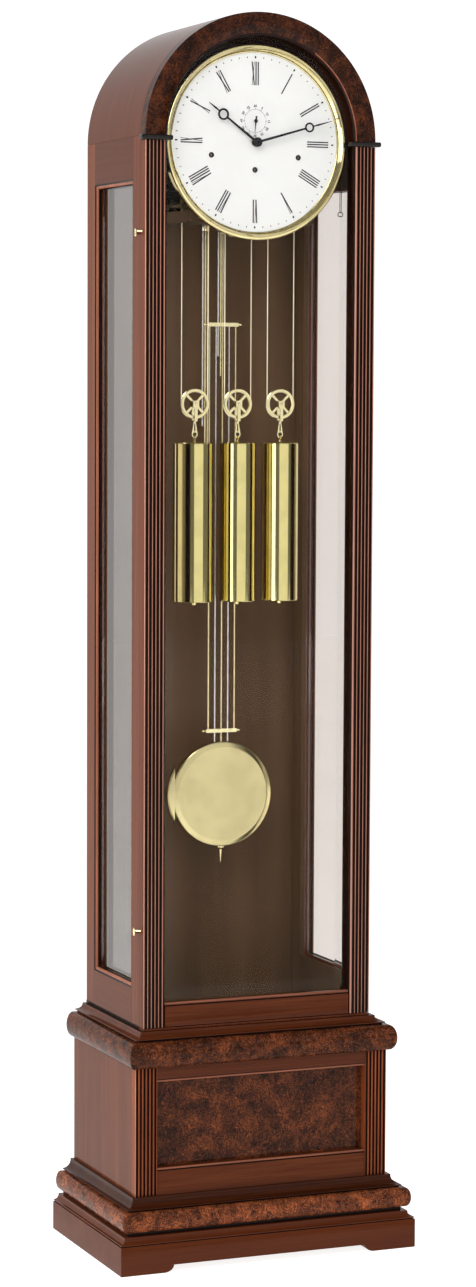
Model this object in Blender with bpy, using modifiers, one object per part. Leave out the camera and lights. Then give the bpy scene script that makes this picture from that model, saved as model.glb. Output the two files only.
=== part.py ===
"""Longcase clock with an arched, glazed door, three cable-wound weights and a gridiron pendulum.

Metres, +Z up. The clock stands on z = 0, centred on the plinth, and faces -Y.
Depths are counted from the door's front face towards the back.
"""
import math

import bmesh
import bpy
from mathutils import Matrix, Vector

# Fits
GAP = 0.0003                    # between pieces that touch
RUNNING_CLEARANCE = 0.0005      # round a turning arbor or a sliding rod
DOOR_CLEARANCE = 0.0005         # between the shut door and the case

# Case
CASE_WIDTH = 0.396              # trunk and hood, outside
CASE_DEPTH = 0.2685             # door face to back
CASE_HEIGHT = 1.998             # floor to the top of the semicircular hood
TRUNK_FOOT_Z = 0.3825           # top of the upper moulding
SIDE_THICKNESS = 0.026
BACK_THICKNESS = 0.006
ARCH_STEPS = 36                 # facets of the half circle

# Base and plinth
BASE_PROJECTION = 0.022         # base beyond the trunk, sides and front
BASE_TOP_Z = 0.3235
BASE_FOOT_Z = 0.118             # top of the lower moulding
BASE_BOARD = 0.018
PLINTH_PROJECTION = 0.037       # plinth beyond the base
PLINTH_HEIGHT = 0.0595
PLINTH_FACE_HEIGHT = 0.047
APRON_HEIGHT = 0.012
FOOT_WIDTH = 0.072
APRON_CURVE = 0.018             # length of the curved end of the apron cut
PANEL_OPENING_BOTTOM_Z = 0.160
PANEL_OPENING_TOP_Z = 0.2995
PANEL_THICKNESS = 0.008
PANEL_LAP = 0.005
PANEL_CHAMFER = 0.006
RAIL_SETBACK = 0.0012

# Mouldings, as projection beyond what they run round
UPPER_TORUS_PROJECTION = 0.0355
UPPER_TORUS_TOP_Z = 0.3655
UPPER_COVE_PROJECTION = 0.021
LOWER_TORUS_PROJECTION = 0.0320
LOWER_TORUS_TOP_Z = 0.0975
LOWER_TORUS_BOTTOM_Z = 0.0660
LOWER_COVE_PROJECTION = 0.021
LOWER_RECESS_PROJECTION = 0.024
TORUS_STEPS = 8
COVE_STEPS = 4

# Side windows
WINDOW_FRONT_DEPTH = 0.060
WINDOW_BACK_DEPTH = 0.226
WINDOW_SILL = 0.0625            # window above the upper moulding
WINDOW_HEAD = 0.072             # window below the spring line
WINDOW_LAP = 0.005
WINDOW_CHAMFER = 0.004
SIDE_PANE_THICKNESS = 0.003
SIDE_PANE_SETBACK = 0.0135      # pane behind the outside of the case

# Door
DOOR_THICKNESS = 0.020
STILE_WIDTH = 0.037
RAIL_HEIGHT = 0.039
FLUTE_COUNT = 5
FLUTE_WIDTH = 0.0050
FLUTE_PITCH = 0.0066
FLUTE_DEPTH = 0.0022
FLUTE_STEPS = 4
BEAD = 0.003
GLASS_THICKNESS = 0.004
GLASS_DEPTH = 0.0115            # front of the glass behind the door's face
GLASS_LAP = 0.005
GLASS_EDGE = 0.0015             # thickness left at the bevelled edge
GLASS_BEVEL = 0.020
COLLAR_HEIGHT = 0.008
COLLAR_OVERHANG = 0.008
COLLAR_PROJECTION = 0.006
COLLAR_BACK_DEPTH = 0.010
COLLAR_ROUND = 0.0035
HINGE_OFFSET = 0.008            # hinge axis beyond the side of the case
LOWER_HINGE_RISE = 0.155        # above the upper moulding
UPPER_HINGE_DROP = 0.152        # below the spring line
HINGE_RADIUS = 0.0023
HINGE_HALF_LENGTH = 0.0032
HINGE_LEAF = 0.0011             # half the thickness of a hinge's leaf
HINGE_LEAF_SHIFT = 0.006        # leaf's end in front of or behind the axis

# Dial
DIAL_DROP = 0.005               # dial's centre below the spring line
BEZEL_REVEAL = 0.006            # between the door's arch and the bezel
BEZEL_WIDTH = 0.013
HAND_ROOM = 0.0155              # door glass to dial
DIAL_THICKNESS = 0.002
BEZEL_RISE = 0.0095             # bezel's crown in front of the dial
WINDING_HOLE_RADIUS = 0.0046
CENTRE_HOLE_RADIUS = 0.0062
SECONDS_HOLE_RADIUS = 0.0022
DIAL_FOOT_RADIUS = 0.0025
DIAL_FOOT_X = 0.088
DIAL_FOOT_RISE = 0.068

# Hands
SECONDS_RISE = 0.034            # seconds circle above the dial's centre
MINUTE_HAND_SHARE = 0.84        # of the room between glass and dial
HOUR_HAND_SHARE = 0.57
SECONDS_HAND_SHARE = 0.245
HAND_THICKNESS = 0.0012
MINUTE_REACH = 0.134
MINUTE_RING_REACH = 0.093
MINUTE_RING_RADIUS = 0.0078
HOUR_REACH = 0.102
HOUR_RING_REACH = 0.0715
HOUR_RING_RADIUS = 0.0092
RING_WALL = 0.0026
HAND_BOSS_RADIUS = 0.0075
SECONDS_REACH = 0.0175
SECONDS_TAIL = 0.0075
SHOWN_HOUR = 10.205             # time shown at rest
SHOWN_SECOND = 31.0

# Movement
PLATE_SPACING = 0.090           # front plate's face to back plate's face
PLATE_THICKNESS = 0.003
PLATE_HALF_WIDTH = 0.118
PLATE_RISE = 0.085              # top of the plates above the dial's centre
PILLAR_RADIUS = 0.0045
PILLAR_INSET = 0.009
ARBOR_RADIUS = 0.0022
MINUTE_PIPE_RADIUS = 0.0030
HOUR_PIPE_RADIUS = 0.0048
HOUR_WHEEL_SETBACK = 0.0065     # behind the dial
MOTION_SETBACK = 0.0065         # cannon pinion and minute wheel behind the hour wheel
PLATE_SETBACK = 0.006           # front plate behind the minute wheel
WHEEL_THICKNESS = 0.0025
CANNON_TEETH = 8
MINUTE_TEETH = 24
PINION_TEETH = 6
HOUR_TEETH = 24
CANNON_MODULE = 0.0015
MINUTE_WHEEL_ANGLE = math.radians(-42.0)
CENTRE_WHEEL_RADIUS = 0.014
CENTRE_WHEEL_SETBACK = 0.010    # behind the front plate's face
ESCAPE_TEETH = 30
ESCAPE_RADIUS = 0.0150
ESCAPE_STANDOFF = 0.014         # in front of the back plate
PALLET_REACH = 0.0131           # pallet from the anchor's middle
SUSPENSION_RISE = 0.063         # above the dial's centre
SEAT_DROP = 0.1088              # below the dial's centre
SEAT_THICKNESS = 0.018
SEAT_MARGIN = 0.008             # seat board in front of the plates
SEAT_RIM = 0.010                # seat board beyond the outer cables
SEAT_NOTCH = 0.052              # half the gap that the pendulum and the gongs hang in
CRUTCH_LENGTH = 0.112
CRUTCH_WIDTH = 0.005
CRUTCH_THICKNESS = 0.003
CRUTCH_SETBACK = 0.008          # behind the back plate
LEVER_FALL = 0.030              # below the dial's centre
LEVER_PIVOT_X = 0.100
LEVER_TO_SIDE = 0.010           # tip of the lever to the case side
LEVER_STANDOFF = 0.0035         # in front of the front plate
LEVER_HALF_WIDTH = 0.0025
LEVER_THICKNESS = 0.0015
LEVER_DROP = 0.083              # lever to the foot of its pull ring
LEVER_WIRE_RADIUS = 0.0008
LEVER_RING_RADIUS = 0.0034

# Weights, pulleys and cables
WEIGHT_NAMES = ("left", "centre", "right")
WEIGHT_PITCH = 0.075
DRUM_SETBACK = 0.0475           # drums and weights behind the front plate's face
WEIGHT_RADIUS = 0.030
WEIGHT_HEIGHT = 0.2569
WEIGHT_DROP = 0.0633            # top of the weight below the pulley's axle
PULLEY_DROP = 0.4163            # below the dial's centre at rest
PULLEY_RADIUS = 0.0242
PULLEY_WIDTH = 0.0070
PULLEY_RIM = 0.0046
SPOKE_WIDTH = 0.0034
HUB_RADIUS = 0.0052
AXLE_RADIUS = 0.0020
WIND_RADIUS = 0.0230            # cable's centre line on pulley and drum
CABLE_RADIUS = 0.0008
STRAP_WIDTH = 0.0058
STRAP_THICKNESS = 0.0013
HOOK_RING_RADIUS = 0.0034
HOOK_WALL = 0.0017
HOOK_HALF = 0.0010              # half the hook's thickness
EYE_RADIUS = 0.0045
EYE_WIRE = 0.0009
SIDE_DRUM_DROP = 0.0218         # below the dial's centre
CENTRE_DRUM_DROP = 0.0433
DRUM_LENGTH = 0.040
DRUM_FLANGE = 0.0268
DRUM_FLANGE_THICKNESS = 0.002
GREAT_WHEEL_RADIUS = 0.032
GREAT_WHEEL_TEETH = 20
SQUARE_HALF = 0.0021
SQUARE_LENGTH = 0.016

# Pendulum
PENDULUM_SETBACK = 0.020        # behind the back plate
ROD_PITCH = 0.0115
ROD_RADIUS = 0.0015
BAR_RADIUS = 0.0031
BAR_HALF_LENGTH = 0.0273
BAR_NECK = 0.0044               # end of a bar to the middle of its ball
BALL_RADIUS = 0.0022
TOP_BAR_DROP = 0.350            # below the suspension
BOTTOM_BAR_RISE = 0.105         # above the bob's centre
PENDULUM_LENGTH = 1.1235        # suspension to the bob's centre
BOB_RADIUS = 0.085
BOB_RIM_HALF = 0.0075
BOB_FACE_HALF = 0.0105
BOB_FACE_RADIUS = 0.078
BOB_TRAVEL = 0.005
STEEL_ROD_ENTRY = 0.018         # how far the steel rods reach into the bob
NUT_RADIUS = 0.0062
NUT_HEIGHT = 0.008
ROD_TIP_DROP = 0.1145           # below the bob's centre
SPRING_WIDTH = 0.010
SPRING_STRIP = 0.0010
SPRING_LENGTH = 0.020

# Chime
CHIME_ROD_OFFSET = 0.0040       # first rod of the wider group, left of the middle
CHIME_ROD_PITCH = 0.0047
CHIME_ROD_RADIUS = 0.0018
CHIME_GROUP_PITCH = 0.0278      # first rod of one group to the first of the other
CHIME_LONG_REACH = 0.319        # shortest rod of the wider group, below the block
CHIME_LONG_DROP = 0.028
CHIME_SHORT_REACH = 0.203       # shortest rod of the other group
CHIME_SHORT_DROP = 0.033
CHIME_BLOCK_DROP = 0.0082       # below the seat board
CHIME_BLOCK_HEIGHT = 0.030
CHIME_BLOCK_DEPTH = 0.030
CHIME_BLOCK_MARGIN = 0.012

# Facets of round pieces
LARGE_ROUND = 36
ROUND = 20
PULLEY_ROUND = 16
SMALL_ROUND = 10
TINY_ROUND = 6
BALL_STEPS = 3

# Places worked out from the sizes above
HALF_CASE = CASE_WIDTH / 2
SPRING_Z = CASE_HEIGHT - HALF_CASE          # where the hood's half circle springs
HALF_BASE = HALF_CASE + BASE_PROJECTION
HALF_PLINTH = HALF_BASE + PLINTH_PROJECTION
HALF_INSIDE = HALF_CASE - SIDE_THICKNESS
OPENING = HALF_CASE - STILE_WIDTH           # half width and arch radius of the door's opening
PLINTH_DEPTH = CASE_DEPTH + BASE_PROJECTION + PLINTH_PROJECTION
BACK_Y = PLINTH_DEPTH / 2
DOOR_Y = BACK_Y - CASE_DEPTH
DOOR_BOTTOM_Z = TRUNK_FOOT_Z + 2 * DOOR_CLEARANCE
RAIL_TOP_Z = DOOR_BOTTOM_Z + RAIL_HEIGHT
HINGE_X = -HALF_CASE - HINGE_OFFSET
BEZEL_RADIUS = OPENING - BEZEL_REVEAL
DIAL_RADIUS = BEZEL_RADIUS - BEZEL_WIDTH
DIAL_Z = SPRING_Z - DIAL_DROP
WINDOW_BOTTOM_Z = TRUNK_FOOT_Z + WINDOW_SILL
WINDOW_TOP_Z = SPRING_Z - WINDOW_HEAD
HINGE_Z = (TRUNK_FOOT_Z + LOWER_HINGE_RISE, SPRING_Z - UPPER_HINGE_DROP)
SECONDS_Z = DIAL_Z + SECONDS_RISE
SUSPENSION_Z = DIAL_Z + SUSPENSION_RISE
PLATE_TOP_Z = DIAL_Z + PLATE_RISE
SEAT_TOP_Z = DIAL_Z - SEAT_DROP
SEAT_BOTTOM_Z = SEAT_TOP_Z - SEAT_THICKNESS
SIDE_DRUM_Z = DIAL_Z - SIDE_DRUM_DROP
CENTRE_DRUM_Z = DIAL_Z - CENTRE_DRUM_DROP
LEVER_Z = DIAL_Z - LEVER_FALL
LEVER_END_X = HALF_INSIDE - LEVER_TO_SIDE
PULLEY_Z = DIAL_Z - PULLEY_DROP
WEIGHT_TOP_Z = PULLEY_Z - WEIGHT_DROP
BOB_Z = SUSPENSION_Z - PENDULUM_LENGTH
TOP_BAR_Z = SUSPENSION_Z - TOP_BAR_DROP
BOTTOM_BAR_Z = BOB_Z + BOTTOM_BAR_RISE
ROD_TIP_Z = BOB_Z - ROD_TIP_DROP
CHIME_BLOCK_Z = SEAT_BOTTOM_Z - CHIME_BLOCK_DROP

# Depths behind the door's face, each counted from the piece in front of it
DIAL_DEPTH = GLASS_DEPTH + GLASS_THICKNESS + HAND_ROOM
MINUTE_HAND_DEPTH = DIAL_DEPTH - HAND_ROOM * MINUTE_HAND_SHARE
HOUR_HAND_DEPTH = DIAL_DEPTH - HAND_ROOM * HOUR_HAND_SHARE
SECONDS_HAND_DEPTH = DIAL_DEPTH - HAND_ROOM * SECONDS_HAND_SHARE
HOUR_WHEEL_DEPTH = DIAL_DEPTH + DIAL_THICKNESS + HOUR_WHEEL_SETBACK
MOTION_DEPTH = HOUR_WHEEL_DEPTH + MOTION_SETBACK
PLATE_FRONT_DEPTH = MOTION_DEPTH + PLATE_SETBACK
PLATE_BACK_DEPTH = PLATE_FRONT_DEPTH + PLATE_SPACING
CENTRE_WHEEL_DEPTH = PLATE_FRONT_DEPTH + CENTRE_WHEEL_SETBACK
ESCAPE_DEPTH = PLATE_BACK_DEPTH - ESCAPE_STANDOFF
SEAT_FRONT_DEPTH = PLATE_FRONT_DEPTH - SEAT_MARGIN
LEVER_DEPTH = PLATE_FRONT_DEPTH - LEVER_STANDOFF
WEIGHT_DEPTH = PLATE_FRONT_DEPTH + DRUM_SETBACK
PENDULUM_DEPTH = PLATE_BACK_DEPTH + PLATE_THICKNESS + PENDULUM_SETBACK

WOOD = ((0.20, 0.075, 0.040), 0.35, 0.0)
BURL = ((0.16, 0.060, 0.028), 0.30, 0.0)
DARK_WOOD = ((0.07, 0.045, 0.030), 0.55, 0.0)
LACQUER = ((0.012, 0.011, 0.012), 0.20, 0.0)
BRASS = ((0.80, 0.66, 0.32), 0.22, 1.0)
STEEL = ((0.62, 0.62, 0.62), 0.28, 1.0)
BLUED = ((0.015, 0.015, 0.020), 0.30, 0.4)
WHITE = ((0.90, 0.89, 0.87), 0.40, 0.0)
CLEAR = ((0.85, 0.88, 0.87), 0.05, 0.0)


def depth(distance):
    """World Y at a distance behind the door's front face."""
    return DOOR_Y + distance


def clear_scene():
    for item in list(bpy.data.objects):
        bpy.data.objects.remove(item, do_unlink=True)


def new_collection(name):
    group = bpy.data.collections.new(name)
    bpy.context.scene.collection.children.link(group)
    return group


clear_scene()
PARTS = new_collection("longcase_clock")
CUTTERS = new_collection("cutters")


def finish(name, look):
    colour, roughness, metallic = look
    material = bpy.data.materials.new(name + "_finish")
    material.use_nodes = True
    shader = material.node_tree.nodes["Principled BSDF"]
    shader.inputs["Base Color"].default_value = (*colour, 1.0)
    shader.inputs["Roughness"].default_value = roughness
    shader.inputs["Metallic"].default_value = metallic
    if look is CLEAR:
        shader.inputs["Transmission Weight"].default_value = 1.0
    return material


def place(name, mesh, origin, look):
    """An object with its origin at a world point; a look of None makes it a cutter."""
    item = bpy.data.objects.new(name, mesh)
    item.location = origin
    if look is None:
        item.hide_render = True
        item.display_type = "WIRE"
        CUTTERS.objects.link(item)
    else:
        mesh.materials.append(finish(name, look))
        PARTS.objects.link(item)
    return item


def from_bmesh(name, shape, origin, look, smooth=False):
    """Turns a bmesh in world coordinates into an object whose origin is a world point."""
    bmesh.ops.translate(shape, verts=shape.verts, vec=-Vector(origin))
    bmesh.ops.recalc_face_normals(shape, faces=shape.faces)
    mesh = bpy.data.meshes.new(name)
    shape.to_mesh(mesh)
    shape.free()
    if smooth:
        mesh.shade_smooth()
        mesh.set_sharp_from_angle(angle=math.radians(35))
    return place(name, mesh, origin, look)


def box_shape(low, high):
    low = Vector(low)
    high = Vector(high)
    shape = bmesh.new()
    size = Matrix.Diagonal((*(high - low), 1.0))
    bmesh.ops.create_cube(shape, size=1.0, matrix=Matrix.Translation((low + high) / 2) @ size)
    return shape


def box(name, low, high, look=None, origin=(0, 0, 0)):
    return from_bmesh(name, box_shape(low, high), origin, look)


def on_axis(axis, across, along, out):
    return {"X": (out, across, along), "Y": (across, out, along), "Z": (across, along, out)}[axis]


def plain_prism_shape(outline, axis, near, far):
    """One outline without holes, pulled along an axis."""
    shape = bmesh.new()
    near_points = [shape.verts.new(on_axis(axis, across, along, near)) for across, along in outline]
    face = shape.faces.new(near_points)
    pulled = bmesh.ops.extrude_face_region(shape, geom=[face])["geom"]
    move = Vector(on_axis(axis, 0.0, 0.0, far - near))
    far_points = [item for item in pulled if isinstance(item, bmesh.types.BMVert)]
    bmesh.ops.translate(shape, verts=far_points, vec=move)
    return shape


def prism_shape(outlines, axis, near, far):
    """Flat outlines, the first one outside and the rest holes, pulled along one axis.

    Outline points are (x, z) for a pull along Y, (y, z) along X and (x, y) along Z.
    """
    if len(outlines) == 1:
        return plain_prism_shape(outlines[0], axis, near, far)
    millimetres = 1000.0
    curve = bpy.data.curves.new("outline", "CURVE")
    curve.dimensions = "2D"
    curve.fill_mode = "BOTH"
    curve.extrude = (far - near) / 2 * millimetres
    for outline in outlines:
        spline = curve.splines.new("POLY")
        spline.points.add(len(outline) - 1)
        spline.use_cyclic_u = True
        for point, (across, along) in zip(spline.points, outline):
            point.co = (across * millimetres, along * millimetres, 0.0, 1.0)
    guide = bpy.data.objects.new("outline", curve)
    CUTTERS.objects.link(guide)
    graph = bpy.context.evaluated_depsgraph_get()
    mesh = bpy.data.meshes.new_from_object(guide.evaluated_get(graph))
    bpy.data.objects.remove(guide, do_unlink=True)
    shape = bmesh.new()
    shape.from_mesh(mesh)
    bmesh.ops.remove_doubles(shape, verts=shape.verts, dist=0.0005)
    middle = (near + far) / 2
    for vertex in shape.verts:
        across, along, out = vertex.co / millimetres
        vertex.co = on_axis(axis, across, along, out + middle)
    return shape


def prism(name, outlines, axis, near, far, look=None, origin=(0, 0, 0), smooth=False):
    return from_bmesh(name, prism_shape(outlines, axis, near, far), origin, look, smooth)


def posted_plate(name, outlines, near, far, posts, look):
    """A flat plate across Y, its first outline outside and the rest holes, with posts standing on it.

    A post is (outline, end y) and stands on the face that its end is nearer to.
    """
    shape = bmesh.new()
    rims = {near: [], far: []}

    def loop(outline, y):
        return [shape.verts.new((x, y, z)) for x, z in outline]

    def edges(ring):
        return [shape.edges.new(pair) for pair in zip(ring, ring[1:] + ring[:1])]

    def wall(first, second):
        for index in range(len(first)):
            shape.faces.new((first[index - 1], first[index], second[index], second[index - 1]))

    for outline in outlines:
        rings = [loop(outline, near), loop(outline, far)]
        rims[near] += edges(rings[0])
        rims[far] += edges(rings[1])
        wall(*rings)
    for outline, end in posts:
        face_y = near if end < near else far
        root = loop(outline, face_y)
        rims[face_y] += edges(root)
        tip = loop(outline, end)
        wall(root, tip)
        shape.faces.new(tip)
    for rim in rims.values():
        bmesh.ops.triangle_fill(shape, edges=rim, use_beauty=True)
    return from_bmesh(name, shape, (0, 0, 0), look)


def turned(name, profile, origin, look=None, axis="Z", steps=ROUND):
    """A profile of (radius, height), top to bottom on its outer side, turned about an axis."""
    shape = bmesh.new()
    points = [shape.verts.new((radius, 0.0, height)) for radius, height in profile]
    for first, second in zip(points, points[1:]):
        shape.edges.new((first, second))
    if profile[0][0] > 0.0:
        shape.edges.new((points[-1], points[0]))
    mesh = bpy.data.meshes.new(name)
    shape.to_mesh(mesh)
    shape.free()
    item = place(name, mesh, origin, look)
    screw = item.modifiers.new("Turned", "SCREW")
    screw.steps = steps
    screw.render_steps = steps
    screw.use_merge_vertices = True
    screw.merge_threshold = 0.00001
    screw.use_smooth_shade = True
    if axis == "Y":
        item.rotation_euler = (math.radians(90), 0, 0)      # height +h lies towards the front
    if axis == "X":
        item.rotation_euler = (0, math.radians(90), 0)      # height +h lies towards the right
    return item


def half_turned(name, profile, centre_z, look, steps=ARCH_STEPS):
    """A closed profile of (radius, y) swept over the half circle of the hood."""
    shape = bmesh.new()
    face = shape.faces.new([shape.verts.new((radius, y, centre_z)) for radius, y in profile])
    geometry = list(face.verts) + list(face.edges) + [face]
    bmesh.ops.spin(shape, geom=geometry, cent=(0, 0, centre_z), axis=(0, -1, 0), angle=math.pi, steps=steps)
    bmesh.ops.remove_doubles(shape, verts=shape.verts, dist=0.000001)
    return from_bmesh(name, shape, (0, 0, 0), look, smooth=True)


def mitred(name, profile, half_width, front_y, look):
    """A moulding of (projection, z) run along the left side, the front and the right side."""
    shape = bmesh.new()

    def station(corner, out):
        across = (half_width + out) * (-1 if corner < 2 else 1)
        return across, (BACK_Y if corner in (0, 3) else front_y - out)

    ring = [shape.verts.new((*station(0, out), z)) for out, z in profile]
    face = shape.faces.new(ring)
    for corner in (1, 2, 3):
        pulled = bmesh.ops.extrude_face_region(shape, geom=[face])["geom"]
        if corner > 1:
            bmesh.ops.delete(shape, geom=[face], context="FACES_ONLY")
        face = [item for item in pulled if isinstance(item, bmesh.types.BMFace)][0]
        for vertex in face.verts:
            out = abs(vertex.co.x) - half_width
            vertex.co.x, vertex.co.y = station(corner, out)
    return from_bmesh(name, shape, (0, 0, 0), look)


def combine(item, tool, operation):
    step = item.modifiers.new(operation.title(), "BOOLEAN")
    step.operation = operation
    step.object = tool
    step.solver = "EXACT"


def cut(item, *tools):
    for tool in tools:
        combine(item, tool, "DIFFERENCE")


def fuse(item, *tools):
    for tool in tools:
        combine(item, tool, "UNION")


def bevel(item, width, segments):
    step = item.modifiers.new("Rounded", "BEVEL")
    step.width = width
    step.segments = segments
    step.limit_method = "ANGLE"


def arc(centre, radius, start, end, steps):
    """Points along an arc, in degrees, both ends included."""
    points = []
    for index in range(steps + 1):
        angle = math.radians(start + (end - start) * index / steps)
        points.append((centre[0] + radius * math.cos(angle), centre[1] + radius * math.sin(angle)))
    return points


def circle(centre, radius, steps):
    return arc(centre, radius, 0, 360 - 360 / steps, steps - 1)


def ball_end(radius, middle):
    """Profile of a ball on a stem, from its pole down to where it meets the stem."""
    return [(max(along, 0.0), out) for out, along in arc((middle, 0.0), radius, 0, 120, BALL_STEPS)]


def rod(name, start, end, radius, look=None, steps=SMALL_ROUND, origin=(0, 0, 0)):
    """A round bar between two world points."""
    start = Vector(start)
    end = Vector(end)
    along = end - start
    shape = bmesh.new()
    sizes = {"segments": steps, "radius1": radius, "radius2": radius, "depth": along.length}
    bmesh.ops.create_cone(shape, cap_ends=True, **sizes)
    turn = Vector((0, 0, 1)).rotation_difference(along).to_matrix().to_4x4()
    bmesh.ops.transform(shape, matrix=Matrix.Translation((start + end) / 2) @ turn, verts=shape.verts)
    return from_bmesh(name, shape, origin, look, smooth=True)


def fluted_face(start_x, face_y):
    """Front edge of a pilaster from its outer corner inwards, on the +X side of the case."""
    field = (FLUTE_COUNT - 1) * FLUTE_PITCH
    first = start_x - (STILE_WIDTH - BEAD - field) / 2
    points = [(start_x, face_y)]
    for index in range(FLUTE_COUNT):
        middle = first - index * FLUTE_PITCH
        for step in range(FLUTE_STEPS + 1):
            angle = math.pi * step / FLUTE_STEPS
            across = middle + FLUTE_WIDTH / 2 * math.cos(angle)
            points.append((across, face_y + FLUTE_DEPTH * math.sin(angle)))
    return points


def mirrored(points):
    return [(-x, y) for x, y in reversed(points)]


# Plinth and base


def torus_profile(inner, outer, top_z, bottom_z):
    """A flattened half round that swells from one projection to another, bottom to top."""
    points = []
    middle = (top_z + bottom_z) / 2
    for step in range(TORUS_STEPS + 1):
        angle = math.pi * (step / TORUS_STEPS - 0.5)
        swell = inner + (outer - inner) * math.cos(angle)
        points.append((swell, middle + (top_z - bottom_z) / 2 * math.sin(angle)))
    return points


def cove_profile(outer, bottom_z, inner, top_z):
    """A hollow quarter round that rises from its outer foot to its inner top."""
    points = []
    for step in range(COVE_STEPS + 1):
        angle = math.pi / 2 * step / COVE_STEPS
        out = outer - (outer - inner) * math.sin(angle)
        points.append((out, top_z - (top_z - bottom_z) * math.cos(angle)))
    return points


def make_plinth():
    quirk = 0.0015
    cap_foot_z = PLINTH_FACE_HEIGHT + 2 * quirk
    profile = [
        (GAP, 0.0),
        (PLINTH_PROJECTION, 0.0),
        (PLINTH_PROJECTION, PLINTH_FACE_HEIGHT),
        (PLINTH_PROJECTION - quirk, PLINTH_FACE_HEIGHT + quirk),
    ]
    cap_top = LOWER_RECESS_PROJECTION + quirk
    profile += cove_profile(PLINTH_PROJECTION - quirk / 2, cap_foot_z, cap_top, PLINTH_HEIGHT)
    profile.append((GAP, PLINTH_HEIGHT))
    plinth = mitred("plinth", profile, HALF_BASE, DOOR_Y - BASE_PROJECTION, WOOD)
    reach = HALF_PLINTH - FOOT_WIDTH
    outline = [(reach, -APRON_HEIGHT)]
    for fall, run in arc((0.0, 0.0), 1.0, 0, 90, COVE_STEPS):
        outline.append((reach - APRON_CURVE * run, APRON_HEIGHT * (1 - fall)))
    outline = outline + mirrored(outline)
    front_y = DOOR_Y - BASE_PROJECTION - PLINTH_PROJECTION
    back_y = DOOR_Y - BASE_PROJECTION + GAP
    apron = prism("apron_cut", [outline], "Y", front_y - APRON_HEIGHT, back_y)
    cut(plinth, apron)


def make_base():
    inner_x = HALF_BASE - BASE_BOARD
    frame_back = depth(-BASE_PROJECTION + BASE_BOARD)
    carcass_front = frame_back + GAP
    bottom_z = APRON_HEIGHT
    carcass_low = (-HALF_BASE, carcass_front, bottom_z)
    carcass = box("base_carcass", carcass_low, (HALF_BASE, BACK_Y, BASE_TOP_Z), WOOD)
    hollow_front = carcass_front - BASE_BOARD
    hollow_top = BASE_TOP_Z - BASE_BOARD
    hollow_low = (-inner_x, hollow_front, 0)
    hollow = box("base_hollow", hollow_low, (inner_x, BACK_Y - BACK_THICKNESS, hollow_top))
    sill_low = (-HALF_CASE, depth(GAP), BASE_TOP_Z - BASE_BOARD / 2)
    sill = box("door_sill", sill_low, (HALF_CASE, depth(DOOR_THICKNESS), TRUNK_FOOT_Z))
    cut(carcass, hollow)
    fuse(carcass, sill)

    front_y = depth(-BASE_PROJECTION)
    rail_y = front_y + RAIL_SETBACK
    stile_x = HALF_BASE - STILE_WIDTH
    half = fluted_face(HALF_BASE, front_y) + [(stile_x, front_y), (stile_x, rail_y)]
    outline = [(HALF_BASE, frame_back)] + half
    outline = outline + mirrored(outline)
    frame = prism("base_front_frame", [outline], "Z", bottom_z, BASE_TOP_Z, WOOD)
    opening_x = stile_x - GAP
    low_z = PANEL_OPENING_BOTTOM_Z
    high_z = PANEL_OPENING_TOP_Z
    through_low = (-opening_x, rail_y - BASE_BOARD, low_z)
    through = box("panel_opening", through_low, (opening_x, frame_back + GAP, high_z))
    cut(frame, through)
    for name, edge_z, way in (("upper_lip", high_z, 1), ("lower_lip", low_z, -1)):
        slope = [
            (rail_y - GAP, edge_z + way * (PANEL_CHAMFER + GAP)),
            (rail_y - GAP, edge_z - way * GAP),
            (rail_y + PANEL_CHAMFER, edge_z - way * GAP),
        ]
        cut(frame, prism(name, [slope], "X", -opening_x, opening_x))
    panel_x = opening_x + PANEL_LAP
    panel_low = (-panel_x, carcass_front, low_z - PANEL_LAP)
    panel_high = (panel_x, carcass_front + PANEL_THICKNESS, high_z + PANEL_LAP)
    box("base_panel", panel_low, panel_high, BURL)


def make_mouldings():
    fillet = 0.002
    top_z = BASE_FOOT_Z
    cove_foot = LOWER_TORUS_TOP_Z + fillet
    lower = [(GAP, PLINTH_HEIGHT + GAP), (LOWER_RECESS_PROJECTION, PLINTH_HEIGHT + GAP)]
    swell_from = LOWER_RECESS_PROJECTION + fillet / 2
    lower_torus = (LOWER_TORUS_TOP_Z, LOWER_TORUS_BOTTOM_Z)
    lower += torus_profile(swell_from, LOWER_TORUS_PROJECTION, *lower_torus)
    lower.append((LOWER_COVE_PROJECTION, cove_foot))
    lower += cove_profile(LOWER_COVE_PROJECTION, cove_foot + fillet, 2 * fillet, top_z - fillet)
    lower += [(2 * fillet, top_z), (GAP, top_z)]
    mitred("lower_moulding", lower, HALF_BASE, DOOR_Y - BASE_PROJECTION, BURL)

    top_z = TRUNK_FOOT_Z
    cove_foot = UPPER_TORUS_TOP_Z + fillet
    torus_foot = BASE_TOP_Z + fillet
    upper = [(GAP, BASE_TOP_Z + GAP), (BASE_PROJECTION + fillet, BASE_TOP_Z + GAP)]
    swell_from = BASE_PROJECTION + fillet
    upper += torus_profile(swell_from, UPPER_TORUS_PROJECTION, UPPER_TORUS_TOP_Z, torus_foot)
    upper.append((UPPER_COVE_PROJECTION, cove_foot))
    upper += cove_profile(UPPER_COVE_PROJECTION, cove_foot + fillet, fillet, top_z - fillet / 2)
    upper += [(fillet, top_z), (GAP, top_z)]
    mitred("upper_moulding", upper, HALF_CASE, DOOR_Y, BURL)


# Trunk and hood


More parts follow.
